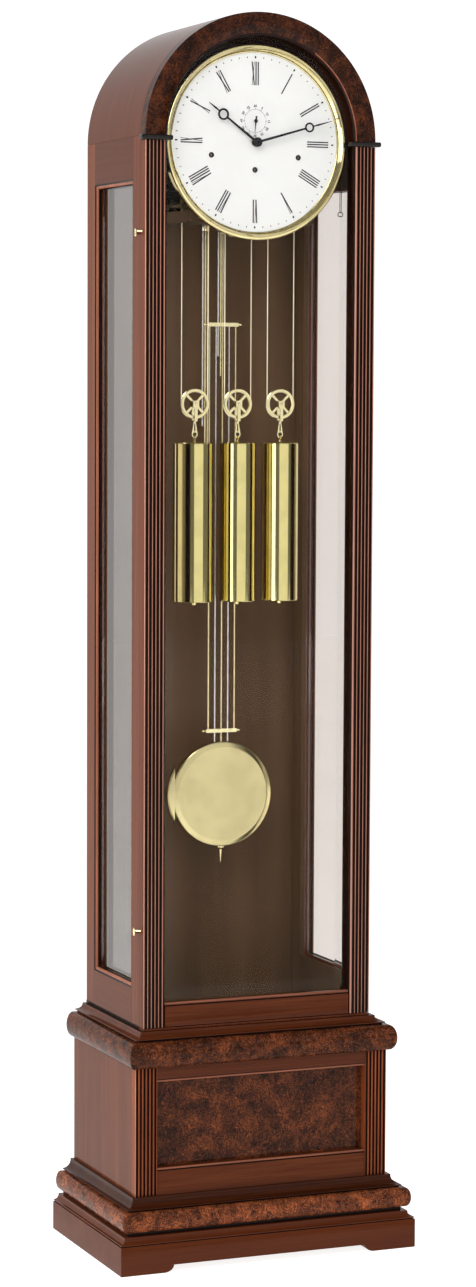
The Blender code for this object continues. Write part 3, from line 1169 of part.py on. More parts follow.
def make_weight(name, x, drum_z):
    y = depth(WEIGHT_DEPTH)
    slide_point = (x, y, PULLEY_Z)
    height = WEIGHT_HEIGHT
    inner = WEIGHT_RADIUS - 0.0012
    finial = 0.0030
    ring_z = WEIGHT_TOP_Z + 0.0140
    bar_top = ring_z - HOOK_RING_RADIUS
    eye_z = bar_top + 2 * GAP - (EYE_RADIUS - EYE_WIRE) * math.cos(math.pi / (TINY_ROUND + 2))
    stud_top = eye_z - EYE_RADIUS - WEIGHT_TOP_Z
    profile = [
        (0.0, stud_top), (finial, stud_top), (finial, 0.0004), (inner, 0.0), (WEIGHT_RADIUS, -0.0014),
        (WEIGHT_RADIUS, -height + 0.0014), (inner, -height),
        (finial * 1.6, -height - 0.0004), (finial, -height - 0.0050), (0.0, -height - 0.0056),
    ]
    weight = turned("weight_" + name, profile, (x, y, WEIGHT_TOP_Z), BRASS)
    eye = [(along, -across) for along, across in circle((EYE_RADIUS, 0.0), EYE_WIRE, TINY_ROUND)]
    fuse(weight, turned("weight_eye", eye, (x, y, eye_z), axis="X", steps=TINY_ROUND + 2))

    strap_half = STRAP_WIDTH / 2
    inside = PULLEY_WIDTH / 2 + 2 * STRAP_THICKNESS
    outside = inside + STRAP_THICKNESS
    top_z = PULLEY_Z + HUB_RADIUS
    bridge_z = PULLEY_Z - PULLEY_RADIUS - 0.0025
    strap_outline = [
        (y - outside, top_z), (y - outside, bridge_z - STRAP_THICKNESS),
        (y + outside, bridge_z - STRAP_THICKNESS), (y + outside, top_z),
        (y + inside, top_z), (y + inside, bridge_z), (y - inside, bridge_z), (y - inside, top_z),
    ]
    strap_sides = (x - strap_half, x + strap_half)
    stirrup = prism("stirrup_" + name, [strap_outline], "X", *strap_sides, BRASS, slide_point)
    axle_ends = [(x, y + side * (outside + STRAP_THICKNESS), PULLEY_Z) for side in (-1, 1)]
    fuse(stirrup, rod("axle", *axle_ends, AXLE_RADIUS, steps=SMALL_ROUND))
    hook_radius = HOOK_RING_RADIUS + HOOK_WALL
    neck = STRAP_WIDTH * 0.36
    hook_outline = [(x - neck, bridge_z), (x - neck, bridge_z - 0.004)]
    hook_outline += arc((x, ring_z), hook_radius, 150, 390, 10)
    hook_outline += [(x + neck, bridge_z - 0.004), (x + neck, bridge_z)]
    slot_top = bridge_z - 0.0055
    slot_foot = ring_z + HOOK_RING_RADIUS + HOOK_WALL
    slot_half = neck * 0.42
    slot_wide = slot_half * 1.4
    slot = [
        (x - slot_half, slot_top), (x - slot_wide, slot_foot),
        (x + slot_wide, slot_foot), (x + slot_half, slot_top),
    ]
    ring = circle((x, ring_z), HOOK_RING_RADIUS, SMALL_ROUND)
    fuse(stirrup, prism("hook", [hook_outline, ring, slot], "Y", y - HOOK_HALF, y + HOOK_HALF))

    groove = WIND_RADIUS - CABLE_RADIUS - GAP
    lip = PULLEY_WIDTH / 2
    throat = CABLE_RADIUS + 2 * GAP
    mouth = throat + (PULLEY_RADIUS - groove) * 0.5
    inner_radius = PULLEY_RADIUS - PULLEY_RIM
    rim = [
        (PULLEY_RADIUS, lip), (PULLEY_RADIUS, mouth), (groove, throat), (groove, -throat),
        (PULLEY_RADIUS, -mouth), (PULLEY_RADIUS, -lip), (inner_radius, -lip), (inner_radius, lip),
    ]
    pulley = turned("pulley_" + name, rim, slide_point, BRASS, axis="Y", steps=PULLEY_ROUND)
    half_spoke = SPOKE_WIDTH / 2
    web = [circle((x, PULLEY_Z), inner_radius + PULLEY_RIM * 0.4, SMALL_ROUND + 2)]
    web.append(circle((x, PULLEY_Z), AXLE_RADIUS + RUNNING_CLEARANCE, SMALL_ROUND))
    window_radius = inner_radius - 2 * GAP
    outer_turn = math.degrees(math.asin(half_spoke / window_radius))
    inner_turn = math.degrees(math.asin(half_spoke / HUB_RADIUS))
    for quarter in range(4):
        start = 45 + 90 * quarter
        window = arc((x, PULLEY_Z), window_radius, start + outer_turn, start + 90 - outer_turn, 4)
        window += arc((x, PULLEY_Z), HUB_RADIUS, start + 90 - inner_turn, start + inner_turn, 2)
        web.append(window)
    web_half = PULLEY_WIDTH * 0.30
    fuse(pulley, prism("pulley_web", web, "Y", y - web_half, y + web_half))

    loop = [(x - WIND_RADIUS, drum_z), (x - WIND_RADIUS, (drum_z + PULLEY_Z) / 2)]
    loop += arc((x, PULLEY_Z), WIND_RADIUS, 180, 360, 12)
    loop.append((x + WIND_RADIUS, (SEAT_BOTTOM_Z + PULLEY_Z) / 2))
    loop.append((x + WIND_RADIUS, SEAT_BOTTOM_Z - GAP))
    curve = bpy.data.curves.new("cable_" + name, "CURVE")
    curve.dimensions = "3D"
    curve.bevel_depth = CABLE_RADIUS
    curve.bevel_resolution = 1
    curve.use_fill_caps = True
    curve.materials.append(finish("cable_" + name, BRASS))
    spline = curve.splines.new("POLY")
    spline.points.add(len(loop) - 1)
    for point, (across, up) in zip(spline.points, loop):
        point.co = (across, y, up, 1.0)
    PARTS.objects.link(bpy.data.objects.new("cable_" + name, curve))


# Pendulum


def make_pendulum():
    y = depth(PENDULUM_DEPTH)
    pivot = (0, y, SUSPENSION_Z)
    head = SPRING_STRIP * 3
    half_width = SPRING_WIDTH / 2
    head_low = (-head, y - half_width, SUSPENSION_Z)
    head_high = (head, y + half_width, SUSPENSION_Z + head)
    spring = box("suspension_spring", head_low, head_high, STEEL, pivot)
    foot_z = SUSPENSION_Z - SPRING_LENGTH
    strip_half = SPRING_STRIP / 2
    overlap = SPRING_STRIP
    strip_low = (-strip_half, y - half_width, foot_z - overlap)
    strip = box("spring_strip", strip_low, (strip_half, y + half_width, SUSPENSION_Z + overlap))
    clamp_z = foot_z - SPRING_WIDTH
    clamp = box("spring_clamp", (-head, y - half_width, clamp_z), (head, y + half_width, foot_z))
    fuse(spring, strip, clamp)

    rod_top = clamp_z - GAP
    tip = 2 * ROD_RADIUS
    height = rod_top - ROD_TIP_Z
    profile = [
        (0.0, 0.0), (ROD_RADIUS, 0.0), (ROD_RADIUS, -height + tip * 2),
        (ROD_RADIUS * 0.25, -height), (0.0, -height),
    ]
    centre_rod = turned("centre_rod", profile, (0, y, rod_top), BRASS, steps=SMALL_ROUND)
    centre_rod.data.transform(Matrix.Translation((0, 0, rod_top - SUSPENSION_Z)))
    centre_rod.location = pivot

    def bar(name, z, look=None):
        neck = BAR_RADIUS * 0.4
        length = BAR_HALF_LENGTH
        middle = length + BAR_NECK
        side = ball_end(BALL_RADIUS, middle) + [(neck, length + GAP), (BAR_RADIUS, length)]
        other = [(radius, -along) for radius, along in reversed(side)]
        return turned(name, side + other, (0, y, z), look, axis="X", steps=SMALL_ROUND)

    frame = bar("gridiron_frame", TOP_BAR_Z, BRASS)
    fuse(frame, bar("bottom_bar", BOTTOM_BAR_Z))
    outer_x = 2 * ROD_PITCH
    for x in (-outer_x, outer_x):
        ends = ((x, y, BOTTOM_BAR_Z), (x, y, TOP_BAR_Z))
        fuse(frame, rod("brass_rod", *ends, ROD_RADIUS, steps=TINY_ROUND + 2))
    hole = ROD_RADIUS + RUNNING_CLEARANCE
    holes = [(x, BOTTOM_BAR_Z) for x in (-ROD_PITCH, 0.0, ROD_PITCH)] + [(0.0, TOP_BAR_Z)]
    for x, z in holes:
        ends = ((x, y, z - 2 * BAR_RADIUS), (x, y, z + 2 * BAR_RADIUS))
        cut(frame, rod("bar_hole", *ends, hole, steps=SMALL_ROUND))

    bob_edge_z = BOB_Z + math.sqrt(BOB_RADIUS ** 2 - ROD_PITCH ** 2)
    rod_foot_z = bob_edge_z - STEEL_ROD_ENTRY
    rod_end_z = TOP_BAR_Z - BAR_RADIUS - GAP
    for name, x in (("left", -ROD_PITCH), ("right", ROD_PITCH)):
        ends = ((x, y, rod_foot_z), (x, y, rod_end_z))
        rod("steel_rod_" + name, *ends, ROD_RADIUS, STEEL, SMALL_ROUND, pivot)

    step = 0.0012
    profile = [
        (0.0, BOB_FACE_HALF), (BOB_FACE_RADIUS, BOB_FACE_HALF),
        (BOB_RADIUS - step, BOB_RIM_HALF), (BOB_RADIUS, BOB_RIM_HALF - step),
    ]
    profile += [(radius, -height) for radius, height in reversed(profile)]
    bob = turned("pendulum_bob", profile, (0, y, BOB_Z), BRASS, axis="Y", steps=LARGE_ROUND)
    beyond = BOB_RADIUS + BOB_TRAVEL
    bore_ends = ((0, y, BOB_Z - beyond), (0, y, BOB_Z + beyond))
    cut(bob, rod("bob_bore", *bore_ends, hole, steps=SMALL_ROUND))
    socket_foot = rod_foot_z - BOB_TRAVEL - RUNNING_CLEARANCE
    for x in (-ROD_PITCH, ROD_PITCH):
        ends = ((x, y, socket_foot), (x, y, BOB_Z + beyond))
        cut(bob, rod("rod_socket", *ends, hole, steps=SMALL_ROUND))

    nut_top = BOB_Z - BOB_RADIUS - GAP
    inner = ROD_RADIUS + RUNNING_CLEARANCE
    edge = 0.0010
    profile = [
        (NUT_RADIUS - edge, 0.0), (NUT_RADIUS, -edge), (NUT_RADIUS, -NUT_HEIGHT + 3 * edge),
        (NUT_RADIUS * 0.6, -NUT_HEIGHT), (inner, -NUT_HEIGHT), (inner, 0.0),
    ]
    turned("rating_nut", profile, (0, y, nut_top), BRASS, steps=SMALL_ROUND)


def make_chime():
    """Gong rods screwed into one block on the backboard."""
    back_y = BACK_Y - BACK_THICKNESS - GAP
    rods = []
    for index in range(3):
        x = index * CHIME_ROD_PITCH - CHIME_ROD_OFFSET
        rods.append((x, CHIME_LONG_REACH + index * CHIME_LONG_DROP))
    other_x = CHIME_GROUP_PITCH - CHIME_ROD_OFFSET
    for index in range(2):
        rods.append((other_x + index * CHIME_ROD_PITCH, CHIME_SHORT_REACH + index * CHIME_SHORT_DROP))
    low = (rods[0][0] - CHIME_BLOCK_MARGIN, back_y - CHIME_BLOCK_DEPTH, CHIME_BLOCK_Z)
    high = (rods[-1][0] + CHIME_BLOCK_MARGIN, back_y, CHIME_BLOCK_Z + CHIME_BLOCK_HEIGHT)
    block = box("chime_block", low, high, STEEL)
    rod_y = back_y - CHIME_BLOCK_DEPTH * 0.62
    for x, reach in rods:
        foot = (x, rod_y, CHIME_BLOCK_Z - reach)
        end = (x, rod_y, CHIME_BLOCK_Z + CHIME_BLOCK_HEIGHT / 2)
        fuse(block, rod("gong_rod", foot, end, CHIME_ROD_RADIUS, steps=TINY_ROUND))


make_plinth()
make_base()
make_mouldings()
make_side("left", -1)
make_side("right", 1)
make_hood()
make_door()
make_hinges()
make_dial()
make_hands()
make_plates()
make_motion_work()
make_escapement()
make_lever()
for number, weight_name in enumerate(WEIGHT_NAMES):
    weight_x = (number - 1) * WEIGHT_PITCH
    weight_drum_z = CENTRE_DRUM_Z if number == 1 else SIDE_DRUM_Z
    make_drum(weight_name, weight_x, weight_drum_z)
    make_weight(weight_name, weight_x, weight_drum_z)
make_pendulum()
make_chime()
print("pieces", len(PARTS.objects), "cutters", len(CUTTERS.objects))
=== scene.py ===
# %% [markdown]
# # A longcase clock, from solids to finished surfaces
# The clock is about two metres tall. A plinth and a panelled base carry a narrow trunk, whose whole front
# is one glazed door with a round head. Behind the glass hang three weights and a gridiron pendulum. The CAD
# model already has every piece at its true place and size. This script keeps that frame and gives each
# piece the surface that the eye expects: lacquered wood, burl, polished brass, a printed dial, glass.

# %% Load the clock
import math

import bmesh
import bpy
from mathutils import Matrix, Vector


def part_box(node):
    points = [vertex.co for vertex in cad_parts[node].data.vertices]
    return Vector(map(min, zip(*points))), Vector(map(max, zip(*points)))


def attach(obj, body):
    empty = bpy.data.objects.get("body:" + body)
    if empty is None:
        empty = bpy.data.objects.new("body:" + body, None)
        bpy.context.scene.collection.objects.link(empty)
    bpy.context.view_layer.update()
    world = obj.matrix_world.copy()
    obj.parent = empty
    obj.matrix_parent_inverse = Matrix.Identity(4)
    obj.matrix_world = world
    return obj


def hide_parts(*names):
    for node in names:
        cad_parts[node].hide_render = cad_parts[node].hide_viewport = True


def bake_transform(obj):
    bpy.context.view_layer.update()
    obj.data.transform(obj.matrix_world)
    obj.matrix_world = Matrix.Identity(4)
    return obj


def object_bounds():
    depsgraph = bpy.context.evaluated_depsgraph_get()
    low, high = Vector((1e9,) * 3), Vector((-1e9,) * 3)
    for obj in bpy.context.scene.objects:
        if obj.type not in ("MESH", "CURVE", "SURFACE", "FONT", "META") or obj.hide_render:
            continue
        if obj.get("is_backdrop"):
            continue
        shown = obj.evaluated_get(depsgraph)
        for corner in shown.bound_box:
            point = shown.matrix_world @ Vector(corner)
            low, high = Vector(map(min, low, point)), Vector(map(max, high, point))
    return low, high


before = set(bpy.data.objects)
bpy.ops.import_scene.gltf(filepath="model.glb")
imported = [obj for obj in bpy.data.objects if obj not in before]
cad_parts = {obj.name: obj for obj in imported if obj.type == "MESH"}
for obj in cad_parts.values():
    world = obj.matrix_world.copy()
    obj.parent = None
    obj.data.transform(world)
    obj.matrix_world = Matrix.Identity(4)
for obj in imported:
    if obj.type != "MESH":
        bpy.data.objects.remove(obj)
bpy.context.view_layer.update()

# %% [markdown]
# ## Sizes
# Every size that several pieces share is read once from the solids, so that a new surface lies exactly on
# the piece it dresses. Depths are counted from the front face of the door towards the back, as a cabinet
# maker would count them.

# %% Sizes read from the solids
arch_low, arch_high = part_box("door_arch")
HALF_CASE = arch_high.x
DOOR_Y = arch_low.y
SPRING_Z = arch_low.z
HALF_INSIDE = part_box("trunk_side_right")[0].x
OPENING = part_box("door_stile_right")[0].x
BACK_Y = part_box("backboard")[1].y
DIAL_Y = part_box("dial_plate")[0].y
bezel_low, bezel_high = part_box("bezel")
BEZEL_RADIUS = bezel_high.x
DIAL_Z = (bezel_low.z + bezel_high.z) / 2
BEZEL_WIDTH = 0.013
DIAL_RADIUS = BEZEL_RADIUS - BEZEL_WIDTH
TINY_GAP = 0.0003
CREASE = 32.0
SIDES = (("left", -1), ("right", 1))
WEIGHTS = ("left", "centre", "right")


def middle_of(node):
    """The middle of a node's box, as x, y and z."""
    low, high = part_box(node)
    return [(first + last) / 2 for first, last in zip(low, high)]


print("half case %.4f  opening %.4f  dial radius %.4f" % (HALF_CASE, OPENING, DIAL_RADIUS))

# %% [markdown]
# ## The camera
# The picture was taken from the left, a little above the middle of the clock, with a long lens. The place
# and the angles below put the corners of the case where the picture has them. The lens follows from the
# picture's height in pixels and the focal length in the same pixels.

# %% Camera
PICTURE_HEIGHT = 1287
FOCAL_PIXELS = 3283.54
CAMERA_PLACE = Vector((-2.0353, -4.9501, 1.4067))
YAW = math.radians(22.4052)
PITCH = math.radians(4.4724)
ROLL = math.radians(0.2665)

level_right = Vector((math.cos(YAW), -math.sin(YAW), 0))
ahead = Vector((math.sin(YAW) * math.cos(PITCH), math.cos(YAW) * math.cos(PITCH), -math.sin(PITCH)))
level_up = level_right.cross(ahead)
right = level_right * math.cos(ROLL) + level_up * math.sin(ROLL)
up = level_up * math.cos(ROLL) - level_right * math.sin(ROLL)
lens = bpy.data.cameras.new("long_lens")
lens.sensor_fit = "VERTICAL"
lens.sensor_height = 36.0
lens.lens = FOCAL_PIXELS * lens.sensor_height / PICTURE_HEIGHT
camera = bpy.data.objects.new("camera", lens)
bpy.context.scene.collection.objects.link(camera)
turn = Matrix((right, up, -ahead)).transposed().to_4x4()
camera.matrix_world = Matrix.Translation(CAMERA_PLACE) @ turn
bpy.context.scene.camera = camera
print("lens %.1f mm" % lens.lens)

# %% [markdown]
# ## The studio
# Polished brass shows what stands around it, so the lamps matter as much as the metal. The picture was
# taken in a white room: behind the clock all is bright, which gives the sides of the case their pale sheen.
# In front a wide dim board fills the flat brass, and a tall box on the left draws the bright bands on the
# weights. The lamps that only light the wood and the dial are hidden from reflections, as a photographer
# hides them with flags.

# %% Studio lamps
AIM = Vector((0, 0, 1.05))


def soft_box(name, azimuth, elevation, distance, width, height, radiance, mirrored_in_brass=True,
             tint=(1.0, 1.0, 1.0)):
    """A rectangular lamp that faces the clock; azimuth 0 is in front of it, and negative is to its left."""
    across = math.radians(azimuth)
    rise = math.radians(elevation)
    out = Vector((math.sin(across) * math.cos(rise), -math.cos(across) * math.cos(rise), math.sin(rise)))
    lamp = bpy.data.lights.new(name, "AREA")
    lamp.shape = "RECTANGLE"
    lamp.size = width
    lamp.size_y = height
    lamp.energy = radiance * math.pi * width * height
    lamp.color = tint
    holder = bpy.data.objects.new(name, lamp)
    holder.location = AIM + out * distance
    holder.rotation_euler = (-out).to_track_quat("-Z", "Y").to_euler()
    holder.visible_glossy = mirrored_in_brass
    bpy.context.scene.collection.objects.link(holder)
    return holder


# Each lamp has its azimuth, elevation, distance, width, height and radiance.
MIRRORED_LAMPS = {"fill_board": (5.5, 11.5, 2.75, 3.06, 2.1, 0.80), "left_box": (-60, 4, 2.6, 1.2, 2.8, 2.4)}
HIDDEN_LAMPS = {"key_box": (-30, 36, 3.6, 1.8, 1.8, 5.5), "right_box": (58, 30, 3.6, 1.2, 2.2, 3.0)}
LEFT_WASH = (-88, 18, 2.9, 1.4, 1.4, 9.4)
LEFT_WASH_TINT = (0.92, 1.0, 0.94)
for name, numbers in MIRRORED_LAMPS.items():
    soft_box(name, *numbers)
for name, numbers in HIDDEN_LAMPS.items():
    soft_box(name, *numbers, mirrored_in_brass=False)
soft_box("left_wash", *LEFT_WASH, mirrored_in_brass=False, tint=LEFT_WASH_TINT)
print("lamps", len(bpy.data.lights))

# %% [markdown]
# ## Shader maths
# A finish is a small formula: a mask times a colour, one minus a mask, a bump from the sum of two noises.
# Blender writes a formula as a chain of Math nodes. The class below wraps one output of a node, so that the
# formula can be written in Python and each operation adds its own node.


# %% A wire that can be added and multiplied
class Wire:
    """One output of a node, with arithmetic; add_node makes any other node."""

    def __init__(self, tree, socket=None):
        self.tree = tree
        self.socket = socket

    def add_node(self, kind, settings=None, sockets=None, out=0):
        """A node of a type, with its settings set first and then its sockets' values or wires."""
        node = self.tree.nodes.new(kind)
        for key, value in (settings or {}).items():
            if key == "stops":
                set_stops(node.color_ramp, value)
            else:
                setattr(node, key, value)
        for key, value in (sockets or {}).items():
            if isinstance(value, Wire):
                self.tree.links.new(value.socket, node.inputs[key])
            else:
                node.inputs[key].default_value = value
        return Wire(self.tree, node.outputs[out] if len(node.outputs) else None)

    def calculate(self, operation, first, second=0.0):
        return self.add_node("ShaderNodeMath", {"operation": operation}, {0: first, 1: second})

    def __add__(self, other):
        return self.calculate("ADD", self, other)

    def __radd__(self, other):
        return self.calculate("ADD", other, self)

    def __sub__(self, other):
        return self.calculate("SUBTRACT", self, other)

    def __rsub__(self, other):
        return self.calculate("SUBTRACT", other, self)

    def __mul__(self, other):
        return self.calculate("MULTIPLY", self, other)

    def __rmul__(self, other):
        return self.calculate("MULTIPLY", other, self)


def set_stops(ramp, stops):
    """Fills a colour ramp with (place, colour) stops."""
    while len(ramp.elements) > 1:
        ramp.elements.remove(ramp.elements[-1])
    for index, (place, colour) in enumerate(stops):
        stop = ramp.elements[0] if index == 0 else ramp.elements.new(place)
        stop.position = place
        stop.color = (*colour, 1.0)


# %% Short names for the nodes that every finish uses
def begin(name):
    """A new material and the loose wire that its nodes start from."""
    material = bpy.data.materials.new(name)
    material.use_nodes = True
    material.node_tree.nodes.clear()
    return material, Wire(material.node_tree)


def place_on(start):
    """Where a point lies on the piece, in metres, whatever the piece's pose."""
    return start.add_node("ShaderNodeTexCoord", out=3)


def stretched(point, scale, shift=(0, 0, 0)):
    return point.add_node("ShaderNodeMapping", None, {"Vector": point, "Location": shift, "Scale": scale})


def noise(point, scale, detail=3.0, rough=0.5, twist=0.0, out=0):
    values = {"Vector": point, "Scale": scale, "Detail": detail, "Roughness": rough, "Distortion": twist}
    return point.add_node("ShaderNodeTexNoise", None, values, out)


def between(value, low, high, to_low=0.0, to_high=1.0):
    """A smooth step of a value from low to high."""
    limits = {"Value": value, "From Min": low, "From Max": high, "To Min": to_low, "To Max": to_high}
    return value.add_node("ShaderNodeMapRange", {"interpolation_type": "SMOOTHSTEP"}, limits)


def mixed(share, first, second):
    """Two colours, mixed by a share."""
    colours = {0: share, 6: first, 7: second}
    return share.add_node("ShaderNodeMix", {"data_type": "RGBA"}, colours, out=2)


def ramp(value, stops):
    return value.add_node("ShaderNodeValToRGB", {"stops": stops}, {"Fac": value})


def toned(stops, tone):
    """The stops of a ramp, made lighter or darker by a tone."""
    return [(place, tuple(tone * part for part in shade)) for place, shade in stops]


def split(point):
    """The x, y and z of a point as three wires."""
    parts = point.add_node("ShaderNodeSeparateXYZ", None, {0: point})
    return [Wire(point.tree, parts.socket.node.outputs[index]) for index in range(3)]


def moved_by(point, wander, size):
    """A point pushed about by a colour noise, for grain that wavers."""
    middle = (0.5, 0.5, 0.5)
    centred = wander.add_node("ShaderNodeVectorMath", {"operation": "SUBTRACT"}, {0: wander, 1: middle})
    push = centred.add_node("ShaderNodeVectorMath", {"operation": "SCALE"}, {0: centred, "Scale": size})
    return push.add_node("ShaderNodeVectorMath", {"operation": "ADD"}, {0: point, 1: push})


def bumped(height, strength, distance):
    sockets = {"Height": height, "Strength": strength, "Distance": distance}
    return height.add_node("ShaderNodeBump", None, sockets)


def surface(start, colour, roughness, **others):
    """Closes a finish with one Principled shader; others are its remaining sockets by name."""
    sockets = {"Base Color": colour, "Roughness": roughness}
    for key, value in others.items():
        sockets[key.replace("_", " ").title().replace("Ior", "IOR")] = value
    shader = start.add_node("ShaderNodeBsdfPrincipled", None, sockets)
    start.add_node("ShaderNodeOutputMaterial", None, {"Surface": shader})


def clouded(name, scale, dark, light, rough, bump=None, glow=0.0, **others):
    """A plain finish: one soft noise sets its colour, from dark to light, its roughness and its bump."""
    material, start = begin(name)
    cloud = noise(place_on(start), scale, 3.0)
    colour = ramp(cloud, [(0.3, dark), (0.7, light)])
    if bump:
        others["normal"] = bumped(cloud, *bump)
    if glow:
        others.update(emission_color=colour, emission_strength=glow)
    surface(start, colour, between(cloud, 0.3, 0.7, *rough), **others)
    return material


print("shader kit ready")

# %% [markdown]
# ## Lacquered wood with straight grain
# The sides, stiles, rails and plinth are a red-brown stained hardwood under a satin lacquer. Close to, the
# grain is long: broad bands of colour, fine fibres, and short dark pores, all drawn out along the board.
# Noise that is squeezed along the grain gives all three. The grain's direction is a setting, because a rail
# lies across the clock and a stile stands. On the roof the grain follows the curve, so its angle is
# measured round the middle of the arch.

# %% Straight-grained wood
WOOD_DARK = (0.030, 0.0071, 0.0024)
WOOD_MID = (0.078, 0.0180, 0.0057)
WOOD_LIGHT = (0.150, 0.0402, 0.0132)
# Pale colour of the painted sheen: a highlight painted into the wood's colour.
PAINTED_SHEEN_COLOUR = (0.50, 0.30, 0.24, 1.0)
BAND_SCALE = (26, 26, 0.9)
FIBRE_SCALE = (300, 300, 5.0)
PORE_SCALE = (900, 900, 26)
GRAIN_WANDER = 0.012


def along_grain(start, direction):
    """The place on the board with its third number running along the grain."""
    point = place_on(start)
    if direction == "up":
        return point
    x, y, z = split(point)
    if direction == "across":
        return point.add_node("ShaderNodeCombineXYZ", None, {0: z, 1: y, 2: x})
    if direction == "back":
        return point.add_node("ShaderNodeCombineXYZ", None, {0: x, 1: z, 2: y})
    rise = z - SPRING_Z
    angle = rise.calculate("ARCTAN2", rise, x)
    return point.add_node("ShaderNodeCombineXYZ", None, {0: y, 1: 0.0, 2: angle * HALF_CASE})


def straight_wood(name, direction="up", tone=1.0, shift=(0, 0, 0), sheen=0.0, calm=0.0):
    """Lacquered wood; sheen is the share of a painted pale highlight that stands in for the lacquer's shine
    on crests.

    calm draws the figure's colours together, for boards that were chosen plain.
    """
    material, start = begin(name)
    point = along_grain(start, direction)
    wander = noise(stretched(point, (1, 1, 0.35), shift), 4.0, 2.0, out=1)
    board = moved_by(point, wander, GRAIN_WANDER)
    bands = noise(stretched(board, BAND_SCALE, shift), 1.0, 3.0, 0.55)
    fibres = noise(stretched(board, FIBRE_SCALE, shift), 1.0, 5.0, 0.65)
    pores = between(noise(stretched(board, PORE_SCALE, shift), 1.0, 2.0, 0.5), 0.60, 0.72)
    figure = bands * 0.45 + fibres * 0.55
    stops = []
    for place, shade in ((0.30, WOOD_DARK), (0.50, WOOD_MID), (0.72, WOOD_LIGHT)):
        stops.append((place, tuple(part + (mean - part) * calm for part, mean in zip(shade, WOOD_MID))))
    colour = ramp(figure, toned(stops, tone))
    colour = mixed(pores * 0.55 * (1.0 - calm), colour, (0.016 * tone, 0.005 * tone, 0.003 * tone, 1.0))
    # Painted sheen: the pale colour is mixed in as a painted highlight.
    if sheen:
        colour = mixed(between(fibres, 0.3, 0.7, 0.8 * sheen, 1.2 * sheen), colour, PAINTED_SHEEN_COLOUR)
    relief = fibres * 0.4 - pores * 0.8
    roughness = between(fibres, 0.3, 0.7, 0.30, 0.42)
    surface(start, colour, roughness, normal=bumped(relief, 0.10, 0.0004), specular_ior_level=0.0,
            coat_weight=0.6, coat_roughness=0.14, coat_ior=1.25)
    return material


upright_wood = straight_wood("lacquered_wood_upright", "up", 1.25, calm=0.35)
# Lighter copies of the wood: the flutes' finish is lightened as a painted highlight on their ridges, and
# crests, corners and beads also get painted sheen.
flute_lightened_wood = straight_wood("lacquered_wood_flutes_lightened", "up", 2.5, (2, 6, 4))
crest_sheen_wood = straight_wood("lacquered_wood_crests_painted_sheen", "up", 2.4, (9, 6, 4), 0.32)
corner_sheen_wood = straight_wood("lacquered_wood_corners_painted_sheen", "up", 2.6, (8, 1, 2), 0.55)
bead_sheen_wood = straight_wood("lacquered_wood_beads_painted_sheen", "up", 2.3, (4, 3, 8), 0.1)
level_wood = straight_wood("lacquered_wood_level", "across", 0.95, (3, 1, 7), calm=0.25)
level_bead_sheen_wood = straight_wood("lacquered_wood_level_beads_painted_sheen", "across", 2.3, (6, 2, 5), 0.15)
plinth_wood = straight_wood("lacquered_wood_plinth", "across", 1.05, (4, 7, 1), calm=0.6)
# A darker copy of the level wood, as painted shade on the lower cove.
shaded_cove_wood = straight_wood("lacquered_wood_cove_painted_shade", "across", 0.45, (1, 4, 2))
head_wood = straight_wood("lacquered_wood_side_head", "back", 0.75, (7, 5, 3), calm=0.75)
foot_wood = straight_wood("lacquered_wood_side_foot", "back", 1.15, (2, 8, 6), calm=0.6)
roof_wood = straight_wood("lacquered_wood_roof", "round", 0.92, (5, 2, 1), calm=0.65)
print("wood finishes", len(bpy.data.materials))

# %% [markdown]
# ## Burl
# The arch of the door, the two large mouldings and the panel in the base are veneered with burl, cut from a
# growth where the grain runs in knots and curls. It shows cloudy patches, short flames that stand up, and
# small dark eyes. The picture of it comes from noise whose place is itself pushed about by noise, twice, so
# that no line stays straight.

# %% Burl veneer
SWIRL_SCALE, SWIRL_REACH = 24.0, 0.040
CURL_SCALE, CURL_REACH = 120.0, 0.009
CLOUD_SCALE = 40.0
FLAME_SCALE = (300, 300, 190)
EYE_SCALE = 110.0


def burl_veneer(name, shift=(0, 0, 0), tone=1.0):
    material, start = begin(name)
    point = stretched(place_on(start), (1, 1, 1), shift)
    swirl = moved_by(point, noise(point, SWIRL_SCALE, 2.0, out=1), SWIRL_REACH)
    curl = moved_by(swirl, noise(swirl, CURL_SCALE, 2.0, out=1), CURL_REACH)
    clouds = noise(curl, CLOUD_SCALE, 4.0, 0.6)
    flames = noise(stretched(curl, FLAME_SCALE), 1.0, 4.0, 0.62, 2.2)
    cells = swirl.add_node("ShaderNodeTexVoronoi", {"feature": "F1"}, {"Vector": swirl, "Scale": EYE_SCALE})
    eyes = between(cells, 0.10, 0.26, 1.0, 0.0) * between(clouds, 0.45, 0.65)
    figure = clouds * 0.32 + flames * 0.68
    stops = [(0.38, (0.006, 0.0026, 0.0016)), (0.46, (0.026, 0.0078, 0.0036)),
             (0.53, (0.086, 0.0225, 0.0084)), (0.62, (0.240, 0.0620, 0.0190))]
    colour = ramp(figure, toned(stops, tone))
    colour = mixed(eyes * 0.7, colour, (0.010, 0.0040, 0.0025, 1.0))
    roughness = between(flames, 0.3, 0.7, 0.26, 0.38)
    surface(start, colour, roughness, normal=bumped(flames, 0.05, 0.0003), specular_ior_level=0.0,
            coat_weight=0.6, coat_roughness=0.10, coat_ior=1.25)
    return material


burl = burl_veneer("burl_veneer", tone=0.88)
# The lower torus gets a lightened copy of the burl: painted light that offsets the shade it lies in.
lightened_foot_burl = burl_veneer("burl_veneer_foot_lightened", (1.7, 2.2, 0.6), 1.65)
arch_burl = burl_veneer("burl_veneer_arch", (3.1, 0.4, 1.7), 0.42)
print("burl finishes", burl.name, lightened_foot_burl.name, arch_burl.name)
